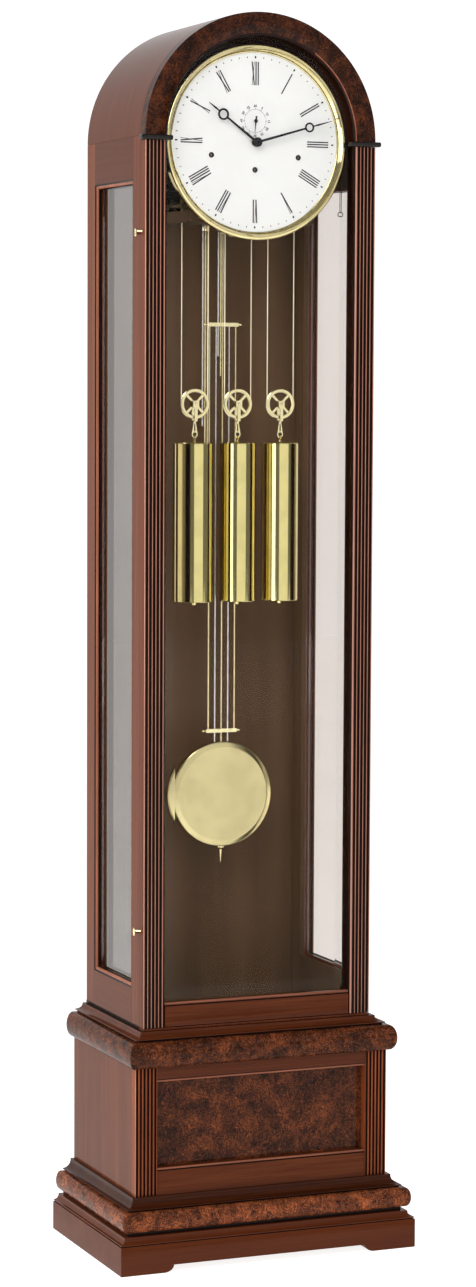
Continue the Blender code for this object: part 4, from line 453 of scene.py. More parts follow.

# %% [markdown]
# ## Dark wood and black lacquer
# The backboard and the seat board are plain stained ply, seen only through the glass, dull and nearly
# without red; the seat board is darkened further, as painted shade. The flutes, quirks and recesses get a
# near-black finish of their own, which is painted shade, so that every groove reads as a black line. The
# two collars at the foot of the arch are black and shiny, with the faint unevenness of hand-rubbed lacquer.


# %% Backboard stain and black lacquer
def dark_stain(name, tone=1.0):
    material, start = begin(name)
    point = place_on(start)
    bands = noise(stretched(point, (16, 16, 1.1)), 1.0, 3.0, 0.5)
    fibres = noise(stretched(point, (260, 260, 4.0)), 1.0, 4.0, 0.6)
    stops = [(0.30, (0.050, 0.0265, 0.0125)), (0.50, (0.076, 0.0420, 0.0205)),
             (0.72, (0.104, 0.0590, 0.0300))]
    colour = ramp(bands * 0.7 + fibres * 0.3, toned(stops, tone))
    surface(start, colour, between(fibres, 0.3, 0.7, 0.42, 0.55), normal=bumped(fibres, 0.08, 0.0003),
            specular_ior_level=0.1)
    return material


# Near-black painted shade for grooves, quirks, recesses and dark strips, with faint grain.
def settled_stain():
    material, start = begin("near_black_painted_shade")
    point = place_on(start)
    cloud = noise(point, 60.0, 3.0)
    fibres = noise(stretched(point, (300, 300, 40)), 1.0, 3.0)
    stops = [(0.3, (0.0050, 0.0018, 0.0011)), (0.7, (0.0150, 0.0045, 0.0022))]
    colour = ramp(cloud * 0.5 + fibres * 0.5, stops)
    surface(start, colour, between(fibres, 0.3, 0.7, 0.36, 0.48), normal=bumped(fibres, 0.06, 0.0002),
            specular_ior_level=0.0, coat_weight=0.6, coat_roughness=0.2, coat_ior=1.25)
    return material


back_wood = dark_stain("dark_stained_ply", 1.05)
# The seat board's stain is darkened further as painted shade.
shade_darkened_shelf_wood = dark_stain("dark_stained_shelf_painted_shade", 0.65)
lining_wood = dark_stain("dark_stained_lining", 0.75)
groove_shade_paint = settled_stain()
black_lacquer = clouded("black_lacquer", 90.0, (0.006, 0.005, 0.005), (0.014, 0.011, 0.010), (0.16, 0.26),
                        (0.02, 0.0002), specular_ior_level=0.2)
print("dark finishes", back_wood.name, groove_shade_paint.name, black_lacquer.name)

# %% [markdown]
# ## Brass and steel
# The weights, bob and bezel are polished and lacquered brass. A mirror finish is never perfect: a turned
# piece keeps faint rings from the lathe, and lacquer clouds a little. Roughness that wanders between two
# low values and a very weak bump show that without spoiling the reflection. The gears inside are duller,
# and the plates and the bezel's groove get a near-black brass that is painted shade. The gridiron's bright
# rods and the arbors are plain steel, and the hands are blackened steel.


# %% Metals
def polished(name, base, low, high, lathe=0.0, scale=60.0):
    """Metal whose roughness wanders from low to high, with faint lathe marks along z if lathe is set."""
    material, start = begin(name)
    point = place_on(start)
    cloud = noise(point, scale, 3.0)
    fine = noise(stretched(point, (40, 40, 1800)), 1.0, 2.0)
    tint = tuple(0.90 * part for part in base)
    colour = mixed(between(cloud, 0.35, 0.65), (*base, 1.0), (*tint, 1.0))
    roughness = between(cloud, 0.3, 0.7, low, high)
    height = cloud * 0.2 + fine * lathe
    surface(start, colour, roughness, metallic=1.0, normal=bumped(height, 0.04, 0.0002))
    return material


weight_brass = polished("polished_brass", (0.80, 0.69, 0.29), 0.04, 0.08, 0.1, 25.0)
bezel_brass = polished("bezel_brass", (0.70, 0.60, 0.31), 0.05, 0.10, 0.1, 40.0)
# Near-black brass: painted shade for the plates inside and the bezel's groove.
shaded_brass = polished("shaded_brass", (0.20, 0.16, 0.07), 0.22, 0.34, 0.0, 60.0)
bob_brass = polished("bob_brass", (0.61, 0.525, 0.27), 0.16, 0.22, 0.0, 18.0)
small_brass = polished("small_brass", (0.80, 0.71, 0.41), 0.14, 0.24, 0.0, 140.0)
dull_brass = polished("movement_brass", (0.70, 0.55, 0.25), 0.28, 0.42, 0.0, 60.0)
rod_steel = polished("bright_steel", (0.72, 0.71, 0.69), 0.14, 0.24, 0.0, 120.0)
arbor_steel = polished("arbor_steel", (0.50, 0.49, 0.48), 0.25, 0.40, 0.0, 120.0)
hand_black = clouded("blackened_steel", 240.0, (0.004, 0.004, 0.005), (0.012, 0.012, 0.014), (0.25, 0.38),
                     (0.03, 0.0001), specular_ior_level=0.2)


STRANDS = 2600.0


def cable_brass():
    """Stranded cable: the strands are ridges that climb round it."""
    material, start = begin("stranded_brass")
    point = place_on(start)
    x, _, z = split(point)
    climb = z * STRANDS + x * STRANDS
    slope = climb.calculate("SINE", climb)
    ridge = slope * 0.5 + 0.5
    # The colour follows the strands: lighter on their crests and darker between them, painted highlight and
    # painted shade.
    colour = mixed(ridge, (0.72, 0.62, 0.38, 1.0), (0.95, 0.88, 0.66, 1.0))
    surface(start, colour, 0.42, metallic=0.5, normal=bumped(ridge, 0.25, 0.0003))
    return material


strand_brass = cable_brass()
print("metals", [m.name for m in (weight_brass, bob_brass, small_brass, rod_steel, hand_black, strand_brass)])

# %% [markdown]
# ## Dial white, ink and glass
# The dial is a lacquered white plate, hardly off pure white, with printed black figures. The glass of the
# door has a wide ground bevel all round, which bends what is seen through it and doubles edges there. Lamps
# have to shine in through the panes, or the case would be dark: the shader lets lamp rays pass straight
# through and bends only what the eye sees.


# %% Dial, ink and glass
def pane(name, bend, face_on, tint=(1.0, 1.0, 1.0)):
    """Clear glass: bend is its index for what is seen through it, face_on its reflection seen straight on."""
    material, start = begin(name)
    cloud = noise(place_on(start), 6.0, 2.0)
    slant = start.add_node("ShaderNodeLayerWeight", None, {"Blend": 0.5}, out=1)
    slanted = slant.calculate("POWER", slant, 5.0)
    share = (slanted * (1.0 - face_on) + face_on) * between(cloud, 0.3, 0.7, 0.95, 1.0)
    clear = start.add_node("ShaderNodeBsdfTransparent", None, {"Color": (*tint, 1.0)})
    through = clear
    if bend > 1.0:
        bent = start.add_node("ShaderNodeBsdfRefraction", None, {"IOR": bend, "Roughness": 0.0})
        lamp_ray = start.add_node("ShaderNodeLightPath", None, None, out=1)
        through = start.add_node("ShaderNodeMixShader", None, {0: lamp_ray, 1: bent, 2: clear})
    shine = start.add_node("ShaderNodeBsdfGlossy", None, {"Roughness": 0.01})
    body = start.add_node("ShaderNodeMixShader", None, {0: share, 1: through, 2: shine})
    start.add_node("ShaderNodeOutputMaterial", None, {"Surface": body})
    return material


dial_paint = clouded("dial_white", 35.0, (0.562, 0.558, 0.545), (0.577, 0.573, 0.560), (0.35, 0.45),
                     (0.01, 0.0002), specular_ior_level=0.1)
ink = clouded("printed_ink", 400.0, (0.008, 0.008, 0.009), (0.020, 0.020, 0.022), (0.45, 0.60),
              specular_ior_level=0.1)
door_pane = pane("door_glass_field", 1.45, 0.003)
bevel_pane = pane("door_glass_bevel", 1.45, 0.008)
side_pane = pane("side_glass", 1.0, 0.135, (0.99, 0.952, 0.924))
print("dial and glass finishes ready")

# %% [markdown]
# ## Helpers for shapes
# Few of these pieces are boxes. A clock is made of turned work (weights, bob, bezel, pulleys), mouldings
# that run round three sides, fluted strips, sawn plates and bent wire. Each way of making gets one small
# function that adds faces to a bmesh, and one more turns the finished bmesh into a piece that rides on its
# body.


# %% Make a piece
def make_piece(name, shape, body, finish, stands_for=(), crease=CREASE):
    """Closes a bmesh as one piece, smooth except where it turns by more than the crease angle.

    A piece with no body is left unattached.
    """
    bmesh.ops.remove_doubles(shape, verts=shape.verts, dist=0.000002)
    bmesh.ops.recalc_face_normals(shape, faces=shape.faces)
    mesh = bpy.data.meshes.new(name)
    shape.to_mesh(mesh)
    shape.free()
    mesh.shade_smooth()
    mesh.set_sharp_from_angle(angle=math.radians(crease))
    mesh.materials.append(finish)
    piece = bpy.data.objects.new(name, mesh)
    bpy.context.scene.collection.objects.link(piece)
    if body:
        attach(piece, body)
    if stands_for:
        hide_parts(*stands_for)
    print("piece", name, "faces", len(mesh.polygons))
    return piece


def wooden(name, shape, finish, stands_for=(), crease=CREASE, body="case"):
    """A piece of plain wood, most of which are on the case."""
    return make_piece(name, shape, body, finish, stands_for, crease)


def soften(piece, width, segments=2):
    """Rounds a piece's sharp edges a little, as sanding and lacquer do."""
    step = piece.modifiers.new("softened", "BEVEL")
    step.width = width
    step.segments = segments
    step.limit_method = "ANGLE"
    step.angle_limit = math.radians(CREASE)
    step.harden_normals = True


def finish_faces(piece, passes, finish):
    """Gives the faces whose middles pass a test another finish than the rest of the piece."""
    piece.data.materials.append(finish)
    number = len(piece.data.materials) - 1
    chosen = [face for face in piece.data.polygons if passes(face.center)]
    for face in chosen:
        face.material_index = number
    print("  faces in", finish.name, len(chosen), "of", len(piece.data.polygons))


def stain_grooves(piece, is_groove):
    """Gives the faces of grooves a near-black colour, painted as the shade that falls in them."""
    finish_faces(piece, is_groove, groove_shade_paint)


# %% Turned work
def circle(shape, middle, side, other, radius, steps):
    """A ring of points in the plane of two directions."""
    turns = (2 * math.pi * step / steps for step in range(steps))
    return [shape.verts.new(middle + side * radius * math.cos(turn) + other * radius * math.sin(turn))
            for turn in turns]


def lathe(shape, profile, centre, axis=(0, 0, 1), steps=64, closed=False):
    """Turns (radius, height) points about an axis through the centre."""
    axis = Vector(axis).normalized()
    side = axis.orthogonal().normalized()
    other = axis.cross(side)
    rings = []
    for radius, height in profile:
        middle = Vector(centre) + axis * height
        if radius:
            rings.append(circle(shape, middle, side, other, radius, steps))
        else:
            rings.append([shape.verts.new(middle)])
    pairs = list(zip(rings, rings[1:]))
    if closed:
        pairs.append((rings[-1], rings[0]))
    for first, second in pairs:
        for step in range(steps):
            after = (step + 1) % steps
            corners = [first[step % len(first)], first[after % len(first)]]
            corners += [second[after % len(second)], second[step % len(second)]]
            corners = list(dict.fromkeys(corners))
            if len(corners) > 2:
                shape.faces.new(corners)
    return shape


def arc(centre, radius, start, end, steps):
    """Points along an arc, angles in degrees, both ends included."""
    points = []
    for step in range(steps + 1):
        angle = math.radians(start + (end - start) * step / steps)
        points.append((centre[0] + radius * math.cos(angle), centre[1] + radius * math.sin(angle)))
    return points


def round_outline(centre, radius, steps=48):
    return arc(centre, radius, 0, 360 - 360 / steps, steps - 1)


# %% Sawn plates
def plate(shape, outlines, spot, near, far):
    """A flat cut-out between two depths: the first outline is outside, the rest are holes.

    spot turns (across, along, depth) into a point.
    """
    rims = {near: [], far: []}
    for outline in outlines:
        rings = []
        for level in (near, far):
            ring = [shape.verts.new(spot(across, along, level)) for across, along in outline]
            rims[level] += [shape.edges.new(pair) for pair in zip(ring, ring[1:] + ring[:1])]
            rings.append(ring)
        for index in range(len(outline)):
            front, back = rings
            shape.faces.new((front[index - 1], front[index], back[index], back[index - 1]))
    for rim in rims.values():
        bmesh.ops.triangle_fill(shape, edges=rim, use_beauty=True)
    return shape


def facing(across, along, level):
    """A plate that faces the front: across is x, along is z and the level is y."""
    return Vector((across, level, along))


def lying(across, along, level):
    """A plate that lies flat: across is x, along is y and the level is z."""
    return Vector((across, along, level))


def sideways(across, along, level):
    """A plate that faces a side: across is y, along is z and the level is x."""
    return Vector((level, across, along))


# %% Wire and rod
def join_rings(shape, rings, closed=False):
    """Skins rings of equally many points; both ends are capped unless the last ring meets the first."""
    for first, second in zip(rings, rings[1:] + rings[:1] * closed):
        for index in range(len(first)):
            shape.faces.new((first[index - 1], first[index], second[index], second[index - 1]))
    if not closed:
        shape.faces.new(rings[0])
        shape.faces.new(rings[-1])
    return shape


def tube(shape, points, radius, sides=16, closed=False):
    """Round wire along a line of points."""
    points = [Vector(point) for point in points]
    count = len(points)
    rings = []
    side = None
    for index, point in enumerate(points):
        before = points[index - 1] if index or closed else point
        after = points[(index + 1) % count] if index + 1 < count or closed else point
        along = (after - before).normalized()
        if side is None:
            side = along.orthogonal().normalized()
        side = (side - along * side.dot(along)).normalized()
        other = along.cross(side)
        rings.append(circle(shape, point, side, other, radius, sides))
    return join_rings(shape, rings, closed)


def block(shape, low, high):
    """A plain box, to be softened or joined to other shapes."""
    low = Vector(low)
    high = Vector(high)
    size = Matrix.Diagonal((*(high - low), 1.0))
    bmesh.ops.create_cube(shape, size=1.0, matrix=Matrix.Translation((low + high) / 2) @ size)
    return shape


# %% Mouldings and arches
def run_round(shape, profile, half_width, front_y):
    """A closed profile of (projection, z) run along the left, the front and the right, with mitres."""
    rings = []
    for corner in range(4):
        ring = []
        for out, z in profile:
            across = (half_width + out) * (-1 if corner < 2 else 1)
            y = BACK_Y if corner in (0, 3) else front_y - out
            ring.append(shape.verts.new((across, y, z)))
        rings.append(ring)
    return join_rings(shape, rings)


def sweep_arch(shape, section, steps=96):
    """A closed section of (radius, y) swept over the half circle of the hood."""
    rings = []
    for step in range(steps + 1):
        angle = math.pi * step / steps
        ring = []
        for radius, y in section:
            ring.append(shape.verts.new((radius * math.cos(angle), y, SPRING_Z + radius * math.sin(angle))))
        rings.append(ring)
    return join_rings(shape, rings)


def swollen(inner, outer, top_z, bottom_z, steps=20):
    """A torus moulding from its foot to its top."""
    points = []
    for step in range(steps + 1):
        angle = math.pi * (step / steps - 0.5)
        points.append((inner + (outer - inner) * math.cos(angle),
                       (top_z + bottom_z) / 2 + (top_z - bottom_z) / 2 * math.sin(angle)))
    return points


def hollowed(outer, bottom_z, inner, top_z, steps=12):
    """A cove that rises from its outer foot to its inner top."""
    points = []
    for step in range(steps + 1):
        angle = math.pi / 2 * step / steps
        points.append((outer - (outer - inner) * math.sin(angle),
                       top_z - (top_z - bottom_z) * math.cos(angle)))
    return points


print("shape helpers ready")

# %% [markdown]
# ## Plinth and mouldings
# The foot of the clock is a plinth with a shaped apron, and two large half-round mouldings under and over
# the base. On the real clock each moulding is built up of strips that are mitred at the corners: a burl
# torus, a plain cove over it, and a recess between them; here the recess is a strip painted near black as
# shade. A profile that is run along three sides with mitred corners is just that. The apron is sawn out of
# the front of the plinth afterwards.

# %% Sizes of the base
BASE_PROJECTION = 0.022
HALF_BASE = HALF_CASE + BASE_PROJECTION
BASE_Y = DOOR_Y - BASE_PROJECTION
plinth_low, plinth_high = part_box("plinth")
PLINTH_PROJECTION = plinth_high.x - HALF_BASE
PLINTH_TOP_Z = plinth_high.z
PLINTH_FACE_Z = 0.047
APRON_HEIGHT = 0.012
FOOT_WIDTH = 0.072
APRON_CURVE = 0.018
base_low, base_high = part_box("base_front_frame")
BASE_TOP_Z = base_high.z
lower_low, lower_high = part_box("lower_moulding")
upper_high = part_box("upper_moulding")[1]
QUIRK = 0.0015
FILLET = 0.002


def carve(piece, cutter):
    """Saws a bmesh cutter out of a piece and keeps the result as its mesh."""
    mesh = bpy.data.meshes.new("cutter")
    bmesh.ops.recalc_face_normals(cutter, faces=cutter.faces)
    cutter.to_mesh(mesh)
    cutter.free()
    tool = bpy.data.objects.new("cutter", mesh)
    bpy.context.scene.collection.objects.link(tool)
    saw = piece.modifiers.new("sawn", "BOOLEAN")
    saw.object = tool
    saw.operation = "DIFFERENCE"
    bpy.context.view_layer.update()
    graph = bpy.context.evaluated_depsgraph_get()
    sawn = bpy.data.meshes.new_from_object(piece.evaluated_get(graph))
    piece.modifiers.remove(saw)
    piece.data = sawn
    bpy.data.objects.remove(tool, do_unlink=True)
    sawn.shade_smooth()
    sawn.set_sharp_from_angle(angle=math.radians(CREASE))


# %% Plinth
plinth_profile = [(TINY_GAP, 0.0), (PLINTH_PROJECTION - 0.0006, 0.0), (PLINTH_PROJECTION, 0.0006)]
lip_steps = [(0.0, -0.0012), (0.0004, -0.0003), (0.0012, 0.0)]
lip_steps += [(0.0030, 0.0), (0.0030, QUIRK), (0.0012, QUIRK)]
for back, rise in lip_steps:
    plinth_profile.append((PLINTH_PROJECTION - back, PLINTH_FACE_Z + rise))
cap_top = 0.0275
cap_foot_z = PLINTH_FACE_Z + 2 * QUIRK
plinth_profile += hollowed(PLINTH_PROJECTION - 0.0012, cap_foot_z, cap_top, PLINTH_TOP_Z - 0.0016)
plinth_profile += [(cap_top, PLINTH_TOP_Z - 0.0004), (cap_top - 0.0006, PLINTH_TOP_Z)]
plinth_profile += [(TINY_GAP, PLINTH_TOP_Z)]
plinth_shape = run_round(bmesh.new(), plinth_profile, HALF_BASE, BASE_Y)
plinth = wooden("plinth_boards", plinth_shape, plinth_wood, ("plinth",))
reach = plinth_high.x - FOOT_WIDTH
apron = [(reach, -APRON_HEIGHT)]
for fall, run in arc((0, 0), 1.0, 0, 90, 12):
    apron.append((reach - APRON_CURVE * run, APRON_HEIGHT * (1 - fall)))
apron += [(-x, z) for x, z in reversed(apron)]
carve(plinth, plate(bmesh.new(), [apron], facing, plinth_low.y - 0.01, BASE_Y + TINY_GAP))
# The quirk under the cap is painted near black as shade.
stain_grooves(plinth, lambda spot: PLINTH_FACE_Z - 0.0001 < spot.z < PLINTH_FACE_Z + QUIRK + 0.0001)

# %% Lower moulding
lower_top = lower_high.z
torus_top, torus_foot = 0.0975, 0.0660
lower_torus = [(TINY_GAP, torus_foot), (0.022, torus_foot)]
lower_torus += swollen(0.024, lower_high.x - HALF_BASE, torus_top, torus_foot)
lower_torus += [(0.018, torus_top), (TINY_GAP, torus_top)]
make_piece("lower_burl_torus", run_round(bmesh.new(), lower_torus, HALF_BASE, BASE_Y), "case",
           lightened_foot_burl, ("lower_moulding",))
recess_top = torus_foot - TINY_GAP
# The recess is a strip painted near black, as painted shade.
recess = [(TINY_GAP, lower_low.z), (0.019, lower_low.z), (0.019, recess_top), (TINY_GAP, recess_top)]
wooden("lower_recess_shade_strip", run_round(bmesh.new(), recess, HALF_BASE, BASE_Y), groove_shade_paint)
cove_foot = torus_top + TINY_GAP
lower_cove = [(TINY_GAP, cove_foot), (0.0165, cove_foot)]
lower_cove += [(0.0165, cove_foot + 0.0022), (0.0198, cove_foot + 0.0022)]
lower_cove += [(0.0202, cove_foot + 0.0026), (0.0202, cove_foot + 0.0034)]
lower_cove += hollowed(0.0198, cove_foot + 0.0038, 0.0062, lower_top - 0.0024)
lower_cove += [(0.0062, lower_top - 0.0012), (0.0056, lower_top - 0.0006), (TINY_GAP, lower_top - 0.0006)]
# The lower cove is a darker copy of the level wood, painted shade, with its quirk painted near black as
# shade.
cove = wooden("lower_cove", run_round(bmesh.new(), lower_cove, HALF_BASE, BASE_Y), shaded_cove_wood)
stain_grooves(cove, lambda spot: spot.z < cove_foot + 0.0023)

# %% Upper moulding
upper_top = upper_high.z - 0.0030
torus_top = 0.3655
torus_foot = BASE_TOP_Z + TINY_GAP
upper_torus = [(TINY_GAP, torus_foot), (BASE_PROJECTION, torus_foot)]
upper_torus += swollen(BASE_PROJECTION + FILLET, upper_high.x - HALF_CASE, torus_top, torus_foot)
upper_torus += [(0.018, torus_top), (TINY_GAP, torus_top)]
make_piece("upper_burl_torus", run_round(bmesh.new(), upper_torus, HALF_CASE, DOOR_Y), "case",
           burl, ("upper_moulding",))
cove_foot = torus_top + TINY_GAP
upper_cove = [(TINY_GAP, cove_foot), (0.0165, cove_foot)]
upper_cove += [(0.0165, cove_foot + 0.0026), (0.0200, cove_foot + 0.0026)]
upper_cove += [(0.0204, cove_foot + 0.0030), (0.0204, cove_foot + 0.0038)]
upper_cove += hollowed(0.0200, cove_foot + 0.0042, 0.0072, upper_top - 0.0018)
upper_cove += [(0.0072, upper_top - 0.0006), (0.0066, upper_top), (TINY_GAP, upper_top)]
cove = wooden("upper_cove", run_round(bmesh.new(), upper_cove, HALF_CASE, DOOR_Y), level_wood)
# The quirk and the top ledge are painted near black as shade.
stain_grooves(cove, lambda spot: spot.z < cove_foot + 0.0027 or spot.z > upper_top - 0.0001)

# %% Strip painted dark as shade at the foot of the trunk's sides
STRIP_PROUD = 0.0004
trunk_low, trunk_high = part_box("trunk_side_left")
for side, way in SIDES:
    face = way * HALF_CASE
    strip = bmesh.new()
    inner = face + way * TINY_GAP / 3
    outer = face + way * STRIP_PROUD
    outline = [(inner, trunk_low.y), (outer, trunk_low.y + STRIP_PROUD), (outer, BACK_Y), (inner, BACK_Y)]
    plate(strip, [outline], lying, upper_top + TINY_GAP, upper_top + 0.0044)
    # A thin dark strip stands where the foot of each side has only shade: painted shade.
    wooden("trunk_foot_shade_strip_" + side, strip, groove_shade_paint)

# %% [markdown]
# ## Fluted strips
# The stiles of the door and the corners of the base are fluted: a row of half-round grooves, cut with a
# moulding plane along the whole length, and next to the door's opening one splay. Seen from above such a
# strip is one outline, so it is drawn once and pulled up to its height. The right-hand strip is the mirror
# of the left.


# %% Flutes
STILE_FLUTES = 5
PILASTER_FLUTES = 6
STILE_FLUTE = 0.0046
PILASTER_FLUTE = 0.0034
FLUTE_PITCH = 0.0062
FLUTE_DEPTH = 0.0034
CORNER = 0.0014
BEAD = 0.0038
GROOVE_LIP = 0.0007
EDGE_CREASE = 40.0
STILE_WIDTH = HALF_CASE - OPENING


def fluted_edge(corner_x, face_y, count, width):
    """The front of a strip from its outer corner inwards, on the right-hand side of the case."""
    points = [(corner_x - CORNER + CORNER * math.cos(a), face_y + CORNER - CORNER * math.sin(a))
              for a in (math.pi / 2 * s / 5 for s in range(6))]
    first = corner_x - CORNER - width / 2 - 0.0006
    half = width / 2
    crown = (FLUTE_PITCH - width) / 2
    for index in range(count):
        middle = first - index * FLUTE_PITCH
        if index:
            points.append((middle + half + crown * 0.8, face_y))
            points.append((middle + half + crown * 0.35, face_y + 0.00012))
        points.append((middle + half, face_y + 0.0006))
        for step in range(11):
            angle = math.pi * (0.08 + 0.84 * step / 10)
            points.append((middle + half * math.cos(angle), face_y + FLUTE_DEPTH * math.sin(angle)))
        points.append((middle - half, face_y + 0.0006))
        points += [(middle - half - crown * 0.35, face_y + 0.00012), (middle - half - crown * 0.8, face_y)]
    return points


def mirrored(points):
    return [(-x, y) for x, y in reversed(points)]


# %% Front frame of the base
frame_back = base_high.y
rail_y = BASE_Y + 0.0012
stile_x = HALF_BASE - STILE_WIDTH
OPENING_LOW_Z = 0.160
OPENING_HIGH_Z = 0.2995
half_strip = [(HALF_BASE, frame_back)] + fluted_edge(HALF_BASE, BASE_Y, PILASTER_FLUTES, PILASTER_FLUTE)
half_strip += [(stile_x, BASE_Y), (stile_x, frame_back)]
for side, outline in (("left", mirrored(half_strip)), ("right", half_strip)):
    strip = plate(bmesh.new(), [outline], lying, base_low.z, BASE_TOP_Z)
    stands = ("base_front_frame",) if side == "left" else ()
    pilaster = wooden("base_pilaster_" + side, strip, flute_lightened_wood, stands, EDGE_CREASE)
    # Painted light on the pilasters: the strip is a lightened copy of the wood as a painted highlight on the
    # ridges, the outer corner gets painted sheen, and the grooves are painted near black as shade.
    finish_faces(pilaster, lambda spot: spot.y < BASE_Y + 0.7 * CORNER
                 and abs(spot.x) > HALF_BASE - 0.7 * CORNER, corner_sheen_wood)
    stain_grooves(pilaster, lambda spot: BASE_Y + GROOVE_LIP < spot.y < BASE_Y + 1.2 * FLUTE_DEPTH
                  and abs(spot.x) < HALF_BASE - CORNER)


def moulded_rail(name, edge_z, other_z):
    """A level rail with a round bead along edge_z, which borders the panel; the bead gets painted sheen as a
    highlight, and the quirk beside it is painted near black as shade.
    """
    bead, quirk, sunk = 0.0034, 0.0013, 0.0024
    way = 1 if edge_z > other_z else -1
    half = stile_x - TINY_GAP
    rounded = [(rail_y + 0.0042 - bead * 0.8 * math.sin(a),
                edge_z - way * bead / 2 + way * bead / 2 * math.cos(a))
               for a in (math.pi * s / 8 for s in range(9))]
    quirk_z = edge_z - way * (bead + quirk)
    section = [(frame_back, edge_z), (rail_y + 0.0050, edge_z)] + rounded
    section += [(rail_y + sunk, edge_z - way * (bead + 0.0001)), (rail_y + sunk, quirk_z)]
    section += [(rail_y + 0.0006, quirk_z), (rail_y, edge_z - way * (bead + quirk + 0.0008))]
    section += [(rail_y, other_z + way * 0.0005), (rail_y + 0.0005, other_z), (frame_back, other_z)]
    piece = wooden(name, plate(bmesh.new(), [section], sideways, -half, half), level_wood, (), EDGE_CREASE)
    # The quirk is painted near black as shade, and the bead's paler finish is a painted highlight.
    stain_grooves(piece, lambda spot: 0.0014 < spot.y - rail_y < 0.0030
                  and bead < way * (edge_z - spot.z) < bead + quirk + 0.0002)
    finish_faces(piece, lambda spot: spot.y - rail_y < 0.0046 and way * (edge_z - spot.z) < bead,
                 level_bead_sheen_wood)


moulded_rail("base_rail_lower", OPENING_LOW_Z, base_low.z)
moulded_rail("base_rail_upper", OPENING_HIGH_Z, BASE_TOP_Z)

# %% [markdown]
# ## The case
# The base, the two glazed sides, the panel and the roof keep their solids. The sides only need their edges
# eased, because a knife-sharp edge catches no light. A bevel on top of the CAD mesh does that without
# moving it. The roof is curved, and is made again with finer steps.


# %% Ease the edges of the solids that stay
def dress(node, finish, ease=0.0):
    """Gives a CAD node its finish and, if asked, eased edges."""
    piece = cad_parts[node]
    piece.data.materials.clear()
    piece.data.materials.append(finish)
    if ease:
        weld = piece.modifiers.new("weld", "WELD")
        weld.merge_threshold = 0.00001
        soften(piece, ease, 2)


dress("base_carcass", upright_wood, 0.0008)
dress("base_panel", burl)
dress("trunk_side_left", upright_wood, 0.0007)
dress("trunk_side_right", upright_wood, 0.0007)
dress("backboard", back_wood)
dress("seat_board", shade_darkened_shelf_wood)

# %% Beads of the windows with painted sheen, and quirks and linings painted dark as shade
WINDOW_CHAMFER = 0.004
BEAD_END = 0.0072
BEAD_SHADE = 0.0045
BEAD_CREASE = 50.0


def frame_round(shape, profile, way, low_y, high_y, low_z, high_z):
    """A closed profile of (inwards, depth) run round a window's four sides with mitred corners."""
    corners = ((low_y, low_z, 1, 1), (high_y, low_z, -1, 1), (high_y, high_z, -1, -1), (low_y, high_z, 1, -1))
    rings = []
    for y, z, along_y, along_z in corners:
        ring = []
        for inwards, depth in profile:
            spot = (way * (HALF_CASE - depth), y + along_y * inwards, z + along_z * inwards)
            ring.append(shape.verts.new(spot))
        rings.append(ring)
    return join_rings(shape, rings, True)


pane_low, pane_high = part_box("side_glass_left")
PANE_FACE = 0.0108
LINING_END = PANE_FACE - 0.0001
GLASS_LAP_SIDE = 0.005
window_edges = (pane_low.y + GLASS_LAP_SIDE - TINY_GAP, pane_high.y - GLASS_LAP_SIDE + TINY_GAP,
                pane_low.z + GLASS_LAP_SIDE - TINY_GAP, pane_high.z - GLASS_LAP_SIDE + TINY_GAP)
print("window", [round(edge, 4) for edge in window_edges], "lining to depth %.4f" % LINING_END)
bead_round = [(0.0001, WINDOW_CHAMFER + 0.0001), (0.0001 - 0.0026, WINDOW_CHAMFER - 0.0026)]
bead_round += [(-0.0012, 0.0012), (0.0004, 0.0014), (0.0016, 0.0026), (0.0020, 0.0042), (0.0016, 0.0058)]
bead_round += [(0.0006, 0.0068), (0.0001, BEAD_END)]
lining = [(0.0001, BEAD_END), (0.0007, BEAD_END), (0.0007, LINING_END), (0.0001, LINING_END)]
quirk = [(-0.0052, -0.0001), (-0.0040, -0.0001), (-0.0025, 0.0013), (-0.0025, 0.0020), (-0.0052, 0.0008)]
for side, way in SIDES:
    bead = frame_round(bmesh.new(), bead_round, way, *window_edges)
    frame_bead = wooden("window_bead_" + side, bead, bead_sheen_wood, (), BEAD_CREASE)
    # The bead's outer part has painted sheen, a painted highlight; its inner part, the quirk strip and the
    # lining are painted near black as shade.
    stain_grooves(frame_bead, lambda spot: abs(spot.x) < HALF_CASE - BEAD_SHADE)
    line = frame_round(bmesh.new(), quirk, way, *window_edges)
    wooden("window_quirk_shade_" + side, line, groove_shade_paint, (), BEAD_CREASE)
    wooden("window_lining_shade_" + side, frame_round(bmesh.new(), lining, way, *window_edges), groove_shade_paint)

# %% Side panes
low_y, high_y, low_z, high_z = window_edges
for side, way in SIDES:
    low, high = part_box("side_glass_" + side)
    back = HALF_CASE - min(abs(low.x), abs(high.x))
    step = HALF_CASE - max(abs(low.x), abs(high.x))
    levels = [(step, 0.0), (step, GLASS_LAP_SIDE + 0.0012), (PANE_FACE, GLASS_LAP_SIDE + 0.0012)]
    shape = bmesh.new()
    rings = []
    for depth, inset in [(back, 0.0)] + levels:
        x = way * (HALF_CASE - depth)
        corners = ((low.y + inset, low.z + inset), (high.y - inset, low.z + inset))
        corners += ((high.y - inset, high.z - inset), (low.y + inset, high.z - inset))
        rings.append([shape.verts.new((x, y, z)) for y, z in corners])
    join_rings(shape, rings)
    make_piece("stepped_pane_" + side, shape, "case", side_pane, ("side_glass_" + side,), 10.0)

# %% Cross-grained rails of the sides and the floor of the trunk
VENEER = 0.00015
LINING = 0.0004
QUIRK_REACH = 0.0053
MARGIN = 0.001
JAMB_END = 0.0256
back_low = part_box("backboard")[0]


def leaf_of(shape, near_y, far_y, foot_z, head_z, face, thickness):
    """Adds a thin upright sheet that lies against a face; the thickness is negative towards the left."""
    outline = [(near_y, foot_z), (far_y, foot_z), (far_y, head_z), (near_y, head_z)]
    return plate(shape, [outline], sideways, min(face, face + thickness), max(face, face + thickness))


